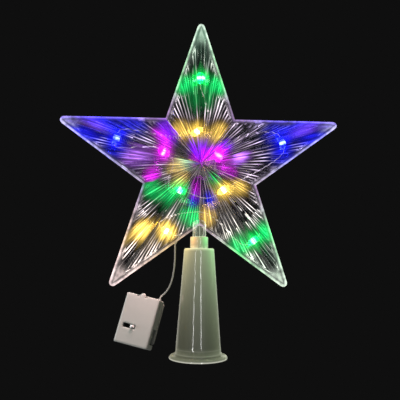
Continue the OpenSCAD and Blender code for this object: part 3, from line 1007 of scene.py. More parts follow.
@dataclass
class StarShell:
    """The clear fluted star: two half shells, the split stem and the rim clips."""

    width: float = 180.0
    tip_round: float = 2.6
    half_depth: float = 14.0
    wall: float = 1.2
    rim_w: float = 2.4
    rim_t: float = 1.5
    bevel: float = 0.35
    seam: float = 0.03
    flute_depth: float = 0.2
    flute_runout: float = 2.0
    hub_r: float = 3.0
    centre_z: float = 121.516
    flutes: int = 12
    flute_steps: int = 8
    land_steps: int = 4
    arms: int = 5
    stem_d: float = 8.6
    stem_bore: float = 5.8
    stem_low: float = 62.0
    stem_blind: float = 82.2
    stem_top: float = 87.2
    stem_ease: float = 0.3
    stem_dome: float = 2.4
    stem_steps: int = 32
    # Sets how many painted highlight lines run round the stem.
    stem_highlight_lines: float = 6.0
    blast_from: float = 0.86
    blast_to: float = 0.95
    blast: float = 0.75
    edging_from: float = 0.25
    edging_to: float = 0.85
    edging: float = 0.12
    clip_l: float = 4.4
    clip_w: float = 0.9
    clip_along: float = 15.5
    clip_proud: float = 0.1
    clip_ease: float = 0.15
    clip_frost: float = 0.9

    # Arm and side of the edge that the lead goes out through.
    LEAD_EDGE = (2, 1)

    @property
    def half_sector(self) -> float:
        """Angle from a point's middle to the next inner corner."""
        return 180.0 / self.arms

    @property
    def tip_centre(self) -> float:
        """Distance of a rounded point's centre from the star's middle."""
        lean = math.radians(90 - 2 * self.half_sector)
        return (self.width / 2 - self.tip_round) / math.cos(lean)

    @property
    def edge_dist(self) -> float:
        """Distance of each straight edge from the star's middle."""
        return self.tip_centre * math.sin(math.radians(self.half_sector / 2)) + self.tip_round

    @property
    def corner_r(self) -> float:
        """Distance of the inner corners from the star's middle."""
        return self.edge_dist / math.cos(math.radians(self.half_sector))

    @property
    def tangent(self) -> float:
        """Turn from a point's middle to the end of its rounding, in radians."""
        lean = math.radians(2 * self.half_sector)
        return math.atan2(
            self.tip_round * math.sin(lean), self.tip_centre + self.tip_round * math.cos(lean))

    def shell_tree(self) -> NodeTree:
        """Makes the tree that forms a half shell by rule from six strips.

        Each strip is a grid. Its X runs once round the star, and its Y from one
        line of the shell's section to the next.

        Returns:
            The tree, with its sizes as named inputs.
        """
        tree, values = new_tree("fluted_half_shell", (
            "Edge", "Rim width", "Rim height", "Peak", "Inner peak", "Tip centre", "Tip round",
            "Bevel", "Seam", "Flute depth", "Run-out", "Hub", "Middle", "Facing"))
        place = add(tree, "ShaderNodeSeparateXYZ", {0: add(tree, "GeometryNodeInputPosition")}).node
        values["x"] = place.outputs["X"]
        values["y"] = place.outputs["Y"]
        half = math.radians(self.half_sector)
        steps = self.land_steps + self.flutes * self.flute_steps
        fine = (half - self.tangent) / (self.flutes * self.flute_steps)
        values["none"] = add(tree, "ShaderNodeValue")
        reckon(tree, values, (
            ("spoke", "ADD", "x", 0.5),
            ("along", "ADD", "y", 0.5),
            ("sectors", "MULTIPLY", "spoke", float(self.arms)),
            ("fold", "PINGPONG", "sectors", 0.5),
            ("step", "MULTIPLY", "fold", 2.0 * steps),
            ("land_step", "MINIMUM", "step", float(self.land_steps)),
            ("past_land", "SUBTRACT", "step", float(self.land_steps)),
            ("flute_step", "MAXIMUM", "past_land", 0.0),
            ("land_turn", "MULTIPLY", "land_step", self.tangent / self.land_steps),
            ("flute_turn", "MULTIPLY", "flute_step", fine),
            ("turn", "ADD", "land_turn", "flute_turn"),
            ("circle", "MULTIPLY", "spoke", 2.0 * math.pi),
            ("heading", "ADD", "circle", math.pi / 2),
            ("across", "COSINE", "heading"),
            ("over", "SINE", "heading"),
            ("lean", "SUBTRACT", 2.0 * half, "turn"),
            ("slant", "COSINE", "lean"),
            ("edge_r", "DIVIDE", "Edge", "slant"),
            ("foot_line", "SUBTRACT", "Edge", "Rim width"),
            ("foot_r", "DIVIDE", "foot_line", "slant"),
            ("turn_sine", "SINE", "turn"),
            ("turn_cosine", "COSINE", "turn"),
            ("tip_out", "MULTIPLY", "Tip centre", "turn_cosine"),
            ("tip_off", "MULTIPLY", "Tip centre", "turn_sine"),
            ("off_square", "MULTIPLY", "tip_off", "tip_off"),
            ("round_square", "MULTIPLY", "Tip round", "Tip round"),
            ("chord_square", "SUBTRACT", "round_square", "off_square"),
            ("chord_clear", "MAXIMUM", "chord_square", 0.0),
            ("chord", "SQRT", "chord_clear"),
            ("tip_r", "ADD", "tip_out", "chord"),
            ("in_tip", "LESS_THAN", "turn", self.tangent),
            ("tip_change", "SUBTRACT", "tip_r", "edge_r"),
            ("tip_step", "MULTIPLY", "tip_change", "in_tip"),
            ("outline_r", "ADD", "edge_r", "tip_step"),
            ("rim_r", "SUBTRACT", "outline_r", "Bevel"),
            ("side_h", "SUBTRACT", "Rim height", "Bevel"),
            ("flutes", "MULTIPLY", "flute_step", 1.0 / self.flute_steps),
            ("on_land", "COMPARE", "flute_step", 0.0, 0.5),
            ("flute", "SUBTRACT", "flutes", "on_land"),
            ("flute_angle", "MULTIPLY", "flutes", math.pi),
            ("flute_wave", "COSINE", "flute_angle"),
            ("crest", "ABSOLUTE", "flute_wave"),
            ("valley", "SUBTRACT", 1.0, "crest"),
            ("facet_r", "MULTIPLY", "along", "foot_r"),
            ("past_hub", "SUBTRACT", "facet_r", "Hub"),
            ("fluted_r", "SUBTRACT", "foot_r", "Hub"),
            ("deepening", "DIVIDE", "past_hub", "fluted_r"),
            ("deep", "MAXIMUM", "deepening", 0.0),
            ("to_foot", "SUBTRACT", "foot_r", "facet_r"),
            ("fading", "DIVIDE", "to_foot", "Run-out"),
            ("fade", "MINIMUM", "fading", 1.0),
            ("deep_fade", "MULTIPLY", "deep", "fade"),
            ("sunk", "MULTIPLY", "deep_fade", "Flute depth"),
            ("groove", "MULTIPLY", "sunk", "valley"),
        ))
        blast = add(tree, "ShaderNodeMapRange", {
            "Value": values["facet_r"], "From Min": self.blast_from * self.tip_centre * MM,
            "From Max": self.blast_to * self.tip_centre * MM, "To Max": self.blast},
            interpolation_type="SMOOTHSTEP")
        edging = add(tree, "ShaderNodeMapRange", {
            "Value": values["along"], "From Min": self.edging_from, "From Max": self.edging_to,
            "To Min": self.edging, "To Max": 1.0},
            interpolation_type="SMOOTHSTEP")
        # From which radius and height, to which, in how many rows, how deeply fluted, how frosted.
        strips = (
            ("none", "Peak", "foot_r", "Rim height", 34, "groove", blast),
            ("foot_r", "Rim height", "rim_r", "Rim height", 7, None, edging),
            ("rim_r", "Rim height", "outline_r", "side_h", 2, None, 1.0),
            ("outline_r", "side_h", "outline_r", "Seam", 2, None, 1.0),
            ("outline_r", "Seam", "foot_r", "Seam", 3, None, 0.2),
            ("foot_r", "Seam", "none", "Inner peak", 10, None, 0.0),
        )
        join = add(tree, "GeometryNodeJoinGeometry").node
        for from_r, from_h, to_r, to_h, rows, sunk, frost in strips:
            reckon(tree, values, (
                ("r_run", "SUBTRACT", to_r, from_r),
                ("r_part", "MULTIPLY", "r_run", "along"),
                ("r", "ADD", "r_part", from_r),
                ("h_run", "SUBTRACT", to_h, from_h),
                ("h_part", "MULTIPLY", "h_run", "along"),
                ("h_plain", "ADD", "h_part", from_h),
                ("h", "SUBTRACT", "h_plain", sunk or 0.0),
                ("place_x", "MULTIPLY", "r", "across"),
                ("place_y", "MULTIPLY", "h", "Facing"),
                ("rise", "MULTIPLY", "r", "over"),
                ("place_z", "ADD", "rise", "Middle"),
            ))
            grid = add(tree, "GeometryNodeMeshGrid", {
                "Size X": 1.0, "Size Y": 1.0,
                "Vertices X": 2 * self.arms * steps + 1, "Vertices Y": rows})
            place = add(tree, "ShaderNodeCombineXYZ", {
                0: values["place_x"], 1: values["place_y"], 2: values["place_z"]})
            flute = values["flute"] if sunk else UNFLUTED
            for name, value in (("frost", frost), ("flute", flute)):
                grid = add(tree, "GeometryNodeStoreNamedAttribute", {
                    "Geometry": grid, "Name": name, "Value": value},
                    data_type="FLOAT", domain="POINT")
            strip = add(tree, "GeometryNodeSetPosition", {"Geometry": grid, "Position": place})
            tree.links.new(strip, join.inputs[0])
        merged = add(tree, "GeometryNodeMergeByDistance", {
            "Geometry": join.outputs[0], "Distance": WELD * MM})
        close_tree(tree, merged, values["Material"])
        return tree

    def half_shell(self, half: Half, tree: NodeTree, finish: Material) -> Object:
        """Forms one half of the star.

        Args:
            half: Which half.
            tree: Tree that forms it.
            finish: Its material.

        Returns:
            The half shell.
        """
        slope = math.atan2(self.half_depth - self.rim_t, self.edge_dist - self.rim_w)
        sizes = {
            "Edge": self.edge_dist, "Rim width": self.rim_w, "Rim height": self.rim_t,
            "Peak": self.half_depth, "Inner peak": self.half_depth - self.wall / math.cos(slope),
            "Tip centre": self.tip_centre, "Tip round": self.tip_round, "Bevel": self.bevel,
            "Seam": self.seam, "Flute depth": self.flute_depth, "Run-out": self.flute_runout,
            "Hub": self.hub_r, "Middle": self.centre_z,
        }
        inputs = {name: size * MM for name, size in sizes.items()}
        inputs["Facing"] = half.value
        inputs["Material"] = finish
        name = half.name.lower()
        piece = grown(name + "_fluted_shell", bpy.data.meshes.new("seed"), tree, inputs)
        with reshaped(piece.data) as shape:
            bmesh.ops.recalc_face_normals(shape, faces=shape.faces)
        smooth(piece.data, sharp_from=28.0)
        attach(piece, STAR)
        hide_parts(name + "_star_shell")
        log.info("%s: %d points", piece.name, len(piece.data.vertices))
        return piece

    def stem_half(self, half: Half, finish: Material) -> Object:
        """Turns one half of the split stem, with a domed top in the star's corner.

        Args:
            half: Which half.
            finish: Its material.

        Returns:
            The half stem.
        """
        outer = self.stem_d / 2
        bore = self.stem_bore / 2
        foot = self.stem_low
        eaves = self.stem_top - self.stem_dome
        section = [(bore, foot), (outer - self.stem_ease, foot), (outer, foot + self.stem_ease)]
        section += [
            (outer * math.cos(math.radians(a)), eaves + self.stem_dome * math.sin(math.radians(a)))
            for a in range(0, 91, 15)
        ]
        section += [(0.0, self.stem_blind), (bore, self.stem_blind)]
        count = len(section)
        mesh = bpy.data.meshes.new("stem")
        with reshaped(mesh) as shape:
            rows = []
            for k in range(self.stem_steps + 1):
                a = math.pi * k / self.stem_steps
                across = MM * math.cos(a)
                aside = MM * half.value * math.sin(a)
                gap = MM * half.value * self.seam
                rows.append([
                    shape.verts.new((r * across, r * aside + gap, MM * z)) for r, z in section])
            for low, high in zip(rows, rows[1:]):
                for i in range(count):
                    j = (i + 1) % count
                    shape.faces.new((low[i], low[j], high[j], high[i]))
            shape.faces.new(rows[0])
            shape.faces.new(rows[-1])
            bmesh.ops.remove_doubles(shape, verts=shape.verts, dist=WELD * MM)
            bmesh.ops.recalc_face_normals(shape, faces=shape.faces)
        # The stem has no flutes: this flute attribute only spaces painted highlight lines round it.
        note(mesh, "flute", [
            self.stem_highlight_lines * math.atan2(abs(vert.co.y), vert.co.x) / math.pi
            for vert in mesh.vertices])
        smooth(mesh, sharp_from=40.0)
        mesh.materials.append(finish)
        piece = new_object(half.name.lower() + "_stem_half", mesh)
        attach(piece, STAR)
        return piece

    def edge_spot(self, arm: int, side: int, along: float, inset: float) -> Vector:
        """Finds a point by an edge of the star.

        Args:
            arm: Number of the arm, from the top one against the clock.
            side: 1 or -1 for the arm's two edges.
            along: Distance from the inner corner in millimetres.
            inset: Distance inside the edge in millimetres.

        Returns:
            The point in metres.
        """
        axis = 90 + arm * 2 * self.half_sector
        corner = math.radians(axis + side * self.half_sector)
        out = math.radians(axis + side * 2 * self.half_sector)
        start = Vector((math.cos(corner), 0.0, math.sin(corner))) * self.corner_r
        ahead = Vector((math.sin(out), 0.0, -math.cos(out))) * side * along
        inward = Vector((math.cos(out), 0.0, math.sin(out))) * inset
        return (start + ahead - inward + Vector((0.0, 0.0, self.centre_z))) * MM

    def clip_tree(self) -> NodeTree:
        """Makes the tree that sets one clip on each point, turned to its edge.

        Returns:
            The tree, with its sizes as named inputs.
        """
        tree, values = new_tree("rim_clips", ("Length", "Width", "Height"))
        size = add(tree, "ShaderNodeCombineXYZ", {
            0: values["Width"], 1: values["Height"], 2: values["Length"]})
        block = add(tree, "GeometryNodeMeshCube", {"Size": size})
        close_tree(tree, turned(tree, values["Mesh"], block), values["Material"])
        return tree

    def rim_clips(self, finish: Material) -> Object:
        """Sets the rear shell's tongues in the rim, except where the lead goes out.

        Args:
            finish: Their material.

        Returns:
            All the clips as one piece.
        """
        places = [
            (arm, side) for arm in range(self.arms) for side in (-1, 1)
            if (arm, side) != self.LEAD_EDGE
        ]
        spots = [
            self.edge_spot(arm, side, self.clip_along, self.rim_w / 2) for arm, side in places]
        headings = [90 + (2 * arm + 2 * side) * self.half_sector for arm, side in places]
        piece = grown("rim_clips", point_mesh("clip_spots", spots, headings), self.clip_tree(), {
            "Length": self.clip_l * MM, "Width": self.clip_w * MM,
            "Height": 2 * (self.rim_t + self.clip_proud) * MM, "Material": finish})
        with reshaped(piece.data) as shape:
            bmesh.ops.bevel(
                shape, geom=shape.edges, offset=self.clip_ease * MM, segments=2, profile=0.5,
                affect="EDGES")
        for name, value in (("frost", self.clip_frost), ("flute", UNFLUTED)):
            note(piece.data, name, [value] * len(piece.data.vertices))
        smooth(piece.data, sharp_from=40.0)
        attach(piece, STAR)
        return piece

    def build(self) -> tuple[list[Object], list[Object]]:
        """Builds both halves with their stem and clips.

        Returns:
            The pieces of the star, and those of the stem.
        """
        clear = ClearStyrene("clear_styrene", self.centre_z).material()
        tree = self.shell_tree()
        star = [self.rim_clips(clear), *(self.half_shell(half, tree, clear) for half in Half)]
        stem = [self.stem_half(half, clear) for half in Half]
        log.info("star: shells, stem and clips")
        return star, stem


@dataclass
class LightString:
    """Ten bead lights and the fine twin wire that links them."""

    shell: StarShell
    bead_l: float = 7.6
    bead_d: float = 4.4
    lump: float = 1.2
    lump_size: float = 5.0
    lump_middle: float = 0.55
    wire_d: float = 0.3
    wire_gap: float = 0.34
    wire_twist: float = 400.0
    bend_steps: int = 16
    # Sizes and gains of the painted light: the halo round each bead, the far glow, the rim glow and
    # what is painted on the stem and base.
    halo_w: float = 5.5
    halo_h: float = 4.5
    halo_gain: float = 1.3
    firmness: float = 1.5
    far_r: float = 34.0
    far_gain: float = 0.56
    far_floor: float = 0.08
    far_crowd: float = 1.6
    far_yield: float = 30.0
    rim_r: float = 20.0
    rim_pure: float = 18.0
    rim_under: float = 0.45
    rim_notch: float = 0.42
    rim_tip: float = 0.8
    rim_tint: str = "#CFB2FF"
    rim_inner: float = 0.38
    rim_plain: float = 0.62
    rim_outer: float = 0.9
    wash_r: float = 26.0
    wash_top: float = 86.0
    wash_fade: float = 4.0
    wash_lean: float = 1.6
    wash_lean_near: float = 2.0
    wash_fall: float = 1.5
    wash_pure: float = 0.2
    wash_pure_fall: float = 1.2
    wash_far: float = 0.3
    stem_gain: float = 0.35
    base_gain: float = 1.15
    neck_bore: float = 4.4
    neck_r: float = 7.5
    neck_share: float = 0.4
    neck_piped: float = 1.9

    STATIONS = tuple(Station(*row) for row in (
        (243, 0.51, 0.0, 148, 0.09, LightColour.AMBER),
        (270, 0.32, 0.0, 0, 0.15, None),
        (306, 0.64, 0.0, 36, 0.09, LightColour.GREEN),
        (30, 0.155, 0.14, 60, 0.15, LightColour.PINK),
        (17, 0.61, 0.0, 288, 0.08, LightColour.BLUE),
        (314, 0.235, -0.14, 215, 0.11, LightColour.AMBER),
        (231, 0.22, 0.07, 165, 0.11, LightColour.GREEN),
        (160, 0.27, -0.07, 150, 0.11, LightColour.PINK),
        (162, 0.615, 0.0, 72, 0.08, LightColour.BLUE),
        (95, 0.245, -0.07, 35, 0.13, LightColour.AMBER),
        (90, 0.63, 0.0, 90, 0.11, LightColour.GREEN),
    ))
    # Place, colour, reach and share of the painted light that stands in for what the stem pipes
    # down.
    PIPED = (
        ((-9.0, -8.0, 76.0), Ghost.ORANGE, 9.0, 0.55),
        ((9.0, -8.0, 76.0), Ghost.GREEN, 9.0, 0.36),
    )
    # Facets whose rims are the undersides of the side arms, where the rim glow is painted paler.
    UNDERSIDES = (2, 7)
    # Distance from the star's middle, and the gain of the painted far light there.
    OUTWARD = ((0, 57, 78), (0.1, 1.05, 4.0))
    # The wire's start at the lead's end, its heading there and the reach of its first bend.
    NOTCH = BatteryLead.ROUTE[0]
    NOTCH_HEADING = 60.0
    NOTCH_REACH = 4.0
    # Turn, share of the way to a point's centre, width, length, colour and gain of each painted
    # patch of light.
    GHOSTS = (
        (132, 0.33, 6.5, 7.5, Ghost.VIOLET, 1.0),
        (143, 0.34, 3.5, 6.0, Ghost.PINK, 0.8),
        (193, 0.345, 5.0, 4.5, Ghost.PINK, 0.9),
        (119, 0.28, 6.0, 6.0, Ghost.AMBER, 0.8),
        (61, 0.26, 5.5, 7.0, Ghost.AMBER, 0.9),
        (108, 0.11, 5.0, 7.0, Ghost.VIOLET, 1.1),
        (75, 0.11, 5.0, 7.0, Ghost.VIOLET, 1.1),
        (38, 0.18, 5.0, 7.0, Ghost.VIOLET, 1.0),
        (14, 0.285, 3.5, 4.5, Ghost.LAVENDER, 2.5),
        (58, 0.07, 5.0, 6.0, Ghost.PINK, 1.0),
        (22, 0.08, 5.0, 5.0, Ghost.PINK, 0.9),
        (140, 0.05, 4.0, 4.0, Ghost.PINK, 0.6),
        (4, 0.19, 3.5, 5.0, Ghost.PINK, 0.45),
        (345, 0.21, 4.0, 5.0, Ghost.PINK, 0.5),
        (191, 0.165, 6.5, 5.5, Ghost.OLIVE, 1.0),
        (215, 0.17, 4.0, 5.5, Ghost.OLIVE, 0.6),
        (168, 0.105, 3.5, 5.0, Ghost.PALE_GREEN, 0.7),
        (207, 0.37, 7.0, 5.5, Ghost.GREEN, 0.75),
        (226, 0.30, 6.0, 5.5, Ghost.GREEN, 0.7),
        (261, 0.36, 7.0, 5.5, Ghost.GREEN, 0.9),
        (279, 0.36, 5.0, 5.5, Ghost.AMBER, 0.65),
        (333, 0.315, 5.5, 5.0, Ghost.AMBER, 0.8),
        (312, 0.15, 4.0, 5.0, Ghost.GREEN, 0.6),
        (262, 0.17, 4.5, 5.0, Ghost.PINK, 0.5),
        (260, 0.24, 3.0, 4.5, Ghost.BLUE, 0.5),
        (287, 0.25, 3.5, 5.0, Ghost.BLUE, 0.5),
        (231, 0.60, 6.0, 6.0, Ghost.AMBER, 1.3),
        (229, 0.60, 4.0, 5.0, Ghost.AMBER, 1.6),
        (244, 0.52, 5.0, 5.0, Ghost.AMBER, 1.2),
        (226, 0.68, 3.0, 9.0, Ghost.AMBER, 0.4),
        (101, 0.59, 7.0, 5.5, Ghost.GREEN, 1.0),
        (79, 0.59, 7.0, 5.5, Ghost.GREEN, 1.0),
        (297, 0.62, 6.0, 6.0, Ghost.GREEN, 1.0),
        (315, 0.65, 6.0, 6.0, Ghost.GREEN, 1.0),
        (155, 0.63, 6.0, 8.0, Ghost.BLUE, 0.4),
        (169, 0.60, 6.0, 8.0, Ghost.BLUE, 0.35),
        (157, 0.78, 5.0, 12.0, Ghost.BLUE, 0.75),
        (148, 0.55, 5.0, 9.0, Ghost.BLUE, 0.35),
        (25, 0.59, 6.0, 8.0, Ghost.BLUE, 0.4),
        (8, 0.60, 6.0, 8.0, Ghost.BLUE, 0.4),
        (21, 0.77, 5.0, 12.0, Ghost.BLUE, 0.75),
        (165, 0.84, 4.0, 10.0, Ghost.BLUE, 0.8),
        (160, 0.80, 4.0, 9.0, Ghost.LAVENDER, 0.22),
        (15, 0.84, 4.0, 10.0, Ghost.BLUE, 0.8),
        (20, 0.80, 4.0, 9.0, Ghost.LAVENDER, 0.3),
        (168, 0.42, 6.0, 8.0, Ghost.LAVENDER, 0.5),
        (175, 0.47, 5.0, 7.0, Ghost.LAVENDER, 0.45),
        (95, 0.47, 5.0, 6.0, Ghost.GREEN, 0.28),
        (85, 0.47, 5.0, 6.0, Ghost.GREEN, 0.28),
        (94, 0.83, 4.0, 9.0, Ghost.PALE_GREEN, 0.1),
        (86, 0.83, 4.0, 9.0, Ghost.PALE_GREEN, 0.1),
        (91, 0.95, 3.0, 6.0, Ghost.PALE_GREEN, 0.3),
        (89, 0.95, 3.0, 6.0, Ghost.PALE_GREEN, 0.3),
        (302, 0.81, 4.0, 8.0, Ghost.PALE_GREEN, 0.04),
        (310, 0.81, 4.0, 8.0, Ghost.PALE_GREEN, 0.05),
    )

    @property
    def lights(self) -> list[Station]:
        """The stations that have a light, in the order of the string."""
        return [station for station in self.STATIONS if station.colour]

    def spot(self, station: Station) -> Vector:
        """Finds a station's place.

        Args:
            station: The station.

        Returns:
            Its place in metres.
        """
        out = self.course(station.turn) * station.share * self.shell.tip_centre
        depth = station.depth * self.shell.half_depth
        return (out + Vector((0.0, depth, self.shell.centre_z))) * MM

    def facet(self, heading: float | np.ndarray) -> float | np.ndarray:
        """Counts the facets from the top point, against the clock, up to a heading."""
        return (heading - 90) % 360 // self.shell.half_sector

    @staticmethod
    def keep(piece: Object, domain: str, halo: np.ndarray, far: np.ndarray) -> None:
        """Stores painted light on a piece, which its material sends out.

        Args:
            piece: Piece that gets a halo and a far attribute.
            domain: Whether the light is that of each point or of each corner of a face.
            halo: Linear colour of the near painted light.
            far: Linear colour of the far painted light.
        """
        for name, light in (("halo", halo), ("far", far)):
            store = piece.data.attributes.new(name, "FLOAT_COLOR", domain)
            solid = np.column_stack([light, np.ones(len(light))])
            store.data.foreach_set("color", solid.astype(np.float32).ravel())

    def bathe(self, piece: Object) -> None:
        """Stores on each point of the star painted light that stands in for what it
        gets from the beads.

        Each light has a painted halo round it, a painted far dim reach and a
        painted glow in the frosted rim. Its ghosts are painted patches that stand
        in for the light that other facets bend out of it, and each stays in its
        own facet.

        Args:
            piece: Clear piece of the star.
        """
        count = len(piece.data.vertices)
        spots = np.empty(3 * count, dtype=np.float32)
        piece.data.vertices.foreach_get("co", spots)
        x, y, z = spots.reshape(-1, 3).T / MM
        radius = np.hypot(x, z - self.shell.centre_z)
        heading = np.degrees(np.arctan2(z - self.shell.centre_z, x))
        frost = np.zeros(count, dtype=np.float32)
        if "frost" in piece.data.attributes:
            piece.data.attributes["frost"].data.foreach_get("value", frost)
        halo, far, rim = (np.zeros((count, 3)) for _ in range(3))
        reach, total = np.zeros(count), np.zeros(count)
        patches = [
            (light.turn, light.share, self.halo_w, self.halo_h, light.colour.resin,
             self.halo_gain, False)
            for light in self.lights
        ]
        patches += [(*place, ghost.value, gain, True) for *place, ghost, gain in self.GHOSTS]
        for turn, share, across, along, colour, gain, held in patches:
            aside = np.radians((heading - turn + 180) % 360 - 180) * radius
            out = radius - share * self.shell.tip_centre
            off = (aside / across) ** 2 + (out / along) ** 2
            patch = gain * np.exp(-off ** self.firmness)
            if held:
                patch = patch * (self.facet(heading) == self.facet(turn))
            halo += np.outer(patch, linear(colour)[:3])
        for light in self.lights:
            at = self.spot(light) / MM
            away = (x - at.x) ** 2 + (y - at.y) ** 2 + (z - at.z) ** 2
            tint = linear(light.colour.far)[:3]
            share = np.exp(-away / self.far_r ** 2)
            total += share
            far += np.outer(share, tint)
            share = 1 / (1 + away / self.rim_r ** 2) ** 2
            reach += share
            pure = share * np.exp(-away / self.rim_pure ** 2)
            rim += np.outer(share - pure, tint) + np.outer(pure, linear(light.colour.resin)[:3])
        far = self.far_floor + self.far_gain * far / (1 + self.far_crowd * total[:, None])
        outward = np.interp(radius, *self.OUTWARD)[:, None]
        far = far * outward / (1 + self.far_yield * halo.max(axis=1, keepdims=True))
        # The painted rim glow is tinted lavender by the inner corners, and untinted and brighter
        # towards the points.
        tint = np.array(linear(self.rim_tint)[:3])
        way = radius[:, None] / self.shell.tip_centre
        out = np.interp(way, (self.rim_inner, self.rim_outer), (self.rim_notch, self.rim_tip))
        pale = np.interp(way, (self.rim_inner, self.rim_plain), (0.0, 1.0))
        rim *= out * (tint + pale * (1 - tint)) / reach[:, None]
        # Painted highlight: the rims on the undersides of the side arms are painted paler.
        below = np.isin(self.facet(heading), self.UNDERSIDES)[:, None]
        rim += self.rim_under * below * (out - rim)
        self.keep(piece, "POINT", halo, far + frost[:, None] * (rim - far))

    def wash(self, piece: Object, gain: float) -> None:
        """Stores on a piece below the star painted light that stands in for what
        falls on it from the beads.

        Each corner of a face has its own painted light, by the way that it faces.
        The neck gets less from the beads, but painted light that stands in for
        what the stem pipes down.

        Args:
            piece: Stem or base.
            gain: How much of the light it gives back.
        """
        count = len(piece.data.loops)
        spots = np.array([vert.co for vert in piece.data.vertices]) / MM
        spots = spots[[loop.vertex_index for loop in piece.data.loops]]
        faces = np.array([normal.vector for normal in piece.data.corner_normals])
        glow = np.zeros((count, 3))
        girth = np.hypot(spots[:, 0], spots[:, 1])
        neck = (girth > self.neck_bore) & (girth < self.neck_r)
        sources = [
            (self.spot(light) / MM, light.colour.resin, self.wash_r, 1.0, self.neck_share)
            for light in self.lights
        ]
        sources += [
            (place, ghost.value, reach, share, self.neck_piped)
            for place, ghost, reach, share in self.PIPED
        ]
        for place, tone, reach, share, in_neck in sources:
            way = np.array(place) - spots
            away = np.linalg.norm(way, axis=1)
            near = np.exp(-(away / reach) ** 2)
            facing = (np.sum(way * faces, axis=1) / away + 1) / 2
            facing = facing ** (self.wash_lean + self.wash_lean_near * near)
            fall = gain * share * facing / (1 + (away / reach) ** 2) ** self.wash_fall
            fall[neck] *= in_neck
            colour = np.array(linear(tone)[:3])
            pure = self.wash_pure + (1 - self.wash_pure) * near ** self.wash_pure_fall
            glow += fall[:, None] * (1 - pure[:, None] + np.outer(pure, colour / colour.mean()))
        glow *= np.clip((self.wash_top - spots[:, 2:]) / self.wash_fade, 0, 1)
        self.keep(piece, "CORNER", glow, self.wash_far * glow)

    @staticmethod
    def course(heading: float) -> Vector:
        """Turns a heading in degrees into a direction in the plane of the star."""
        turn = math.radians(heading)
        return Vector((math.cos(turn), 0.0, math.sin(turn)))

    def spans(self) -> list[list[Vector]]:
        """Works out the wire from the lead's end through all the lights.

        Returns:
            One list of points for each stretch between two lights.
        """
        stretches = []
        leave = Vector(self.NOTCH) * MM
        heading = self.NOTCH_HEADING
        reach = self.NOTCH_REACH * MM
        line = [leave]
        for station in self.STATIONS:
            spot = self.spot(station)
            ahead = self.course(station.heading)
            half_bead = ahead * self.bead_l / 2 * MM if station.colour else Vector()
            arrive = spot - half_bead
            next_reach = station.bend * self.shell.tip_centre * MM
            gap = (arrive - leave).length
            a, b = leave, leave + self.course(heading) * min(reach, gap)
            c, d = arrive - ahead * min(next_reach, gap), arrive
            for k in range(1, self.bend_steps + 1):
                t = k / self.bend_steps
                u = 1 - t
                line.append(u ** 3 * a + 3 * t * u * u * b + 3 * t * t * u * c + t ** 3 * d)
            leave = spot + half_bead
            if station.colour:
                stretches.append([*line, spot])
                line = [spot, leave]
            heading = station.heading
            reach = next_reach
        return stretches

    def wire_tree(self) -> NodeTree:
        """Makes the tree that runs a twin wire along the curves, slowly twisted.

        Returns:
            The tree, with its sizes as named inputs.
        """
        tree, values = new_tree("twin_wire", ("Diameter", "Gap", "Twist"))
        values["length"] = add(tree, "GeometryNodeSplineParameter").node.outputs["Length"]
        reckon(tree, values, (
            ("radius", "MULTIPLY", "Diameter", 0.5),
            ("right", "MULTIPLY", "Gap", 0.5),
            ("left", "MULTIPLY", "Gap", -0.5),
            ("tilt", "MULTIPLY", "length", "Twist"),
        ))
        ring = add(tree, "GeometryNodeCurvePrimitiveCircle", {
            "Resolution": 6, "Radius": values["radius"]})
        pair = add(tree, "GeometryNodeJoinGeometry").node
        for side in ("left", "right"):
            shift = add(tree, "ShaderNodeCombineXYZ", {0: values[side]})
            wire = add(tree, "GeometryNodeTransform", {"Geometry": ring, "Translation": shift})
            tree.links.new(wire, pair.inputs[0])
        twisted = add(tree, "GeometryNodeSetCurveTilt", {
            "Curve": values["Mesh"], "Tilt": values["tilt"]})
        wire = add(tree, "GeometryNodeCurveToMesh", {
            "Curve": twisted, "Profile Curve": pair.outputs[0], "Fill Caps": True})
        close_tree(tree, wire, values["Material"])
        return tree

    def wires(self) -> Object:
        """Runs the twin wire between the lights.

        Returns:
            The wire as one piece.
        """
        data = bpy.data.curves.new("wire_line", "CURVE")
        data.dimensions = "3D"
        for stretch in self.spans():
            line = data.splines.new("POLY")
            line.points.add(len(stretch) - 1)
            for point, spot in zip(line.points, stretch):
                point.co = (*spot, 1.0)
        finish = LitEnamel("enamelled_copper_wire", "#E6E0D4").material()
        piece = grown("twin_wire", data, self.wire_tree(), {
            "Diameter": self.wire_d * MM, "Gap": self.wire_gap * MM, "Twist": self.wire_twist,
            "Material": finish})
        smooth(piece.data, sharp_from=60.0)
        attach(piece, STAR)
        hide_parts("string_wire")
        return piece

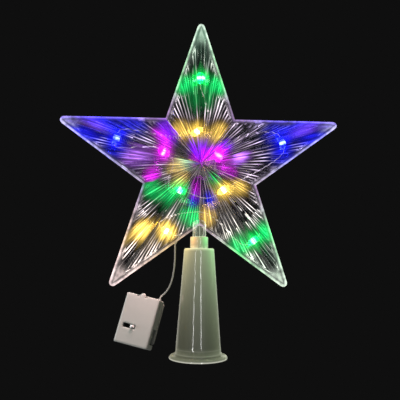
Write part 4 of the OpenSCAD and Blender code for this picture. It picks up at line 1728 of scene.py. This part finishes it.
    def bead_tree(self) -> NodeTree:
        """Makes the tree that sets a lumpy drop of resin on each point.

        The core attribute falls from 1 in the middle of a drop to 0 at its ends.

        Returns:
            The tree, with its sizes as named inputs.
        """
        tree, values = new_tree("resin_drops", ("Length", "Diameter", "Lump"))
        size = add(tree, "ShaderNodeCombineXYZ", {
            0: values["Length"], 1: values["Diameter"], 2: values["Diameter"]})
        ball = add(tree, "GeometryNodeMeshUVSphere", {
            "Segments": 32, "Rings": 20, "Radius": 0.5})
        spot = add(tree, "GeometryNodeInputPosition")
        values["x"] = add(tree, "ShaderNodeSeparateXYZ", {0: spot})
        values["noise"] = add(tree, "ShaderNodeTexNoise", {
            "Vector": spot, "Scale": 1 / (self.lump_size * MM), "Detail": 0.0})
        reckon(tree, values, (
            ("square", "MULTIPLY", "x", "x"),
            ("core", "MULTIPLY_ADD", "square", -4.0, 1.0),
            ("about", "SUBTRACT", "noise", self.lump_middle),
            ("swell", "MULTIPLY", "about", "Lump"),
        ))
        cored = add(tree, "GeometryNodeStoreNamedAttribute", {
            "Geometry": ball, "Name": "core", "Value": values["core"]},
            data_type="FLOAT", domain="POINT")
        drop = add(tree, "GeometryNodeTransform", {"Geometry": cored, "Scale": size})
        drops = turned(tree, values["Mesh"], drop)
        real = add(tree, "GeometryNodeRealizeInstances", {0: drops})
        out = add(tree, "GeometryNodeInputNormal")
        move = add(tree, "ShaderNodeVectorMath", {
            0: out, "Scale": values["swell"]}, operation="SCALE")
        lumpy = add(tree, "GeometryNodeSetPosition", {"Geometry": real, "Offset": move})
        close_tree(tree, lumpy, values["Material"])
        return tree

    def beads(self, colour: LightColour, tree: NodeTree) -> Object:
        """Drops the resin of one colour and lights its chips.

        Args:
            colour: The colour.
            tree: Tree that sets the drops.

        Returns:
            All drops of that colour as one piece.
        """
        chosen = {i: light for i, light in enumerate(self.lights, 1) if light.colour is colour}
        spots = [self.spot(light) for light in chosen.values()]
        headings = [light.heading for light in chosen.values()]
        numbers = list(chosen)
        name = colour.name.lower()
        resin = LitResin(name + "_lit_epoxy", colour.resin, colour.hot)
        points = point_mesh("bead_spots", spots, headings)
        piece = grown(name + "_resin_beads", points, tree, {
            "Length": self.bead_l * MM, "Diameter": self.bead_d * MM, "Lump": self.lump * MM,
            "Material": resin.material()})
        smooth(piece.data, sharp_from=80.0)
        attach(piece, STAR)
        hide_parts(*(f"bead_light_{i}" for i in numbers))
        chip = HotChip(name + "_chip", colour.hot).material()
        for i in numbers:
            paint(f"light_chip_{i}", chip)
        log.info("%s: %d lights", piece.name, len(numbers))
        return piece

    def build(self, star: list[Object], stem: list[Object], base: Object) -> None:
        """Builds the wire and all the lights.

        Args:
            star: Clear pieces that glow with their light, painted on them.
            stem: Clear pieces under the star that get their light painted on.
            base: Frosted piece that gets their soaked light painted on.
        """
        for piece in (*star, self.wires()):
            self.bathe(piece)
        for piece in stem:
            self.wash(piece, self.stem_gain)
        self.wash(base, self.base_gain)
        tree = self.bead_tree()
        for colour in LightColour:
            self.beads(colour, tree)
        log.info("light string: wire and lights")


@dataclass
class Base:
    """The frosted base with its neck, taper and flange, in rings that the painted light can fade
    along.
    """

    sharp_from: float = 30.0

    # Heights of the rings.
    RINGS = (8, 15, 22, 29, 36, 43, 49, 54, 58, 62, 65, 67, 71, 73)

    def build(self) -> Object:
        """Turns the base smooth and dresses it.

        Returns:
            The base.
        """
        piece = softened("base_cone", "frosted_base", 0.0, self.sharp_from)
        with reshaped(piece.data) as shape:
            for height in self.RINGS:
                bmesh.ops.bisect_plane(
                    shape, geom=[*shape.verts, *shape.edges, *shape.faces], dist=WELD * MM,
                    plane_co=(0.0, 0.0, height * MM), plane_no=(0.0, 0.0, 1.0))
        smooth(piece.data, self.sharp_from)
        piece.data.materials.append(FrostedPropylene("frosted_propylene").material())
        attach(piece, BASE)
        log.info("base: %d points", len(piece.data.vertices))
        return piece


@dataclass
class BatteryBox:
    """The coin cell box with its door, switch, cells and contacts."""

    edge: float = 0.36

    def build(self) -> list[Object]:
        """Eases the edges of the mouldings and dresses every piece of the box.

        Returns:
            The mouldings.
        """
        shell = MouldedPlastic("abs_box_shell", "#C8CAC2", "#C0C3BA", corner=1.8).material()
        pale = MouldedPlastic("abs_switch_knob", "#FFFFFC", "#F8F8F4", 0.4).material()
        dark = MouldedPlastic("black_nylon", "#1B1B1C", "#222223", 0.45).material()
        steel = PlatedMetal("nickel_plated_steel", "#B9B6AE").material()
        mouldings = []
        for node, name, body, finish, slot, edge in (
            ("box_housing", "eased_box_housing", STAR, shell, "box_plastic", self.edge),
            ("battery_door", "eased_battery_door", DOOR, shell, "box_plastic", self.edge / 2),
            ("switch_knob", "eased_switch_knob", KNOB, pale, "knob_plastic", 0.0),
        ):
            piece = softened(node, name, edge)
            piece.data.materials.append(finish)
            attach(piece, body)
            mouldings.append(piece)
            log.info("%s: %d points", piece.name, len(piece.data.vertices))
        for node in ("switch_body", "switch_plate"):
            paint(node, dark)
        for node in ("front_cell", "rear_cell", "spring_contact", "side_contact"):
            paint(node, steel)
        log.info("battery box: housing, door, switch, cells and contacts")
        return mouldings


def main() -> None:
    """Builds the studio and every piece, in order."""
    logging.basicConfig(level=logging.INFO, format="%(name)s %(message)s")
    studio = Studio()
    studio.build()
    BatteryLead().build()
    shell = StarShell()
    star, stem = shell.build()
    base = Base().build()
    studio.lined.objects.link(base)
    LightString(shell).build(star, stem, base)
    for piece in BatteryBox().build():
        studio.boxed.objects.link(piece)


if __name__ == "__main__":
    main()
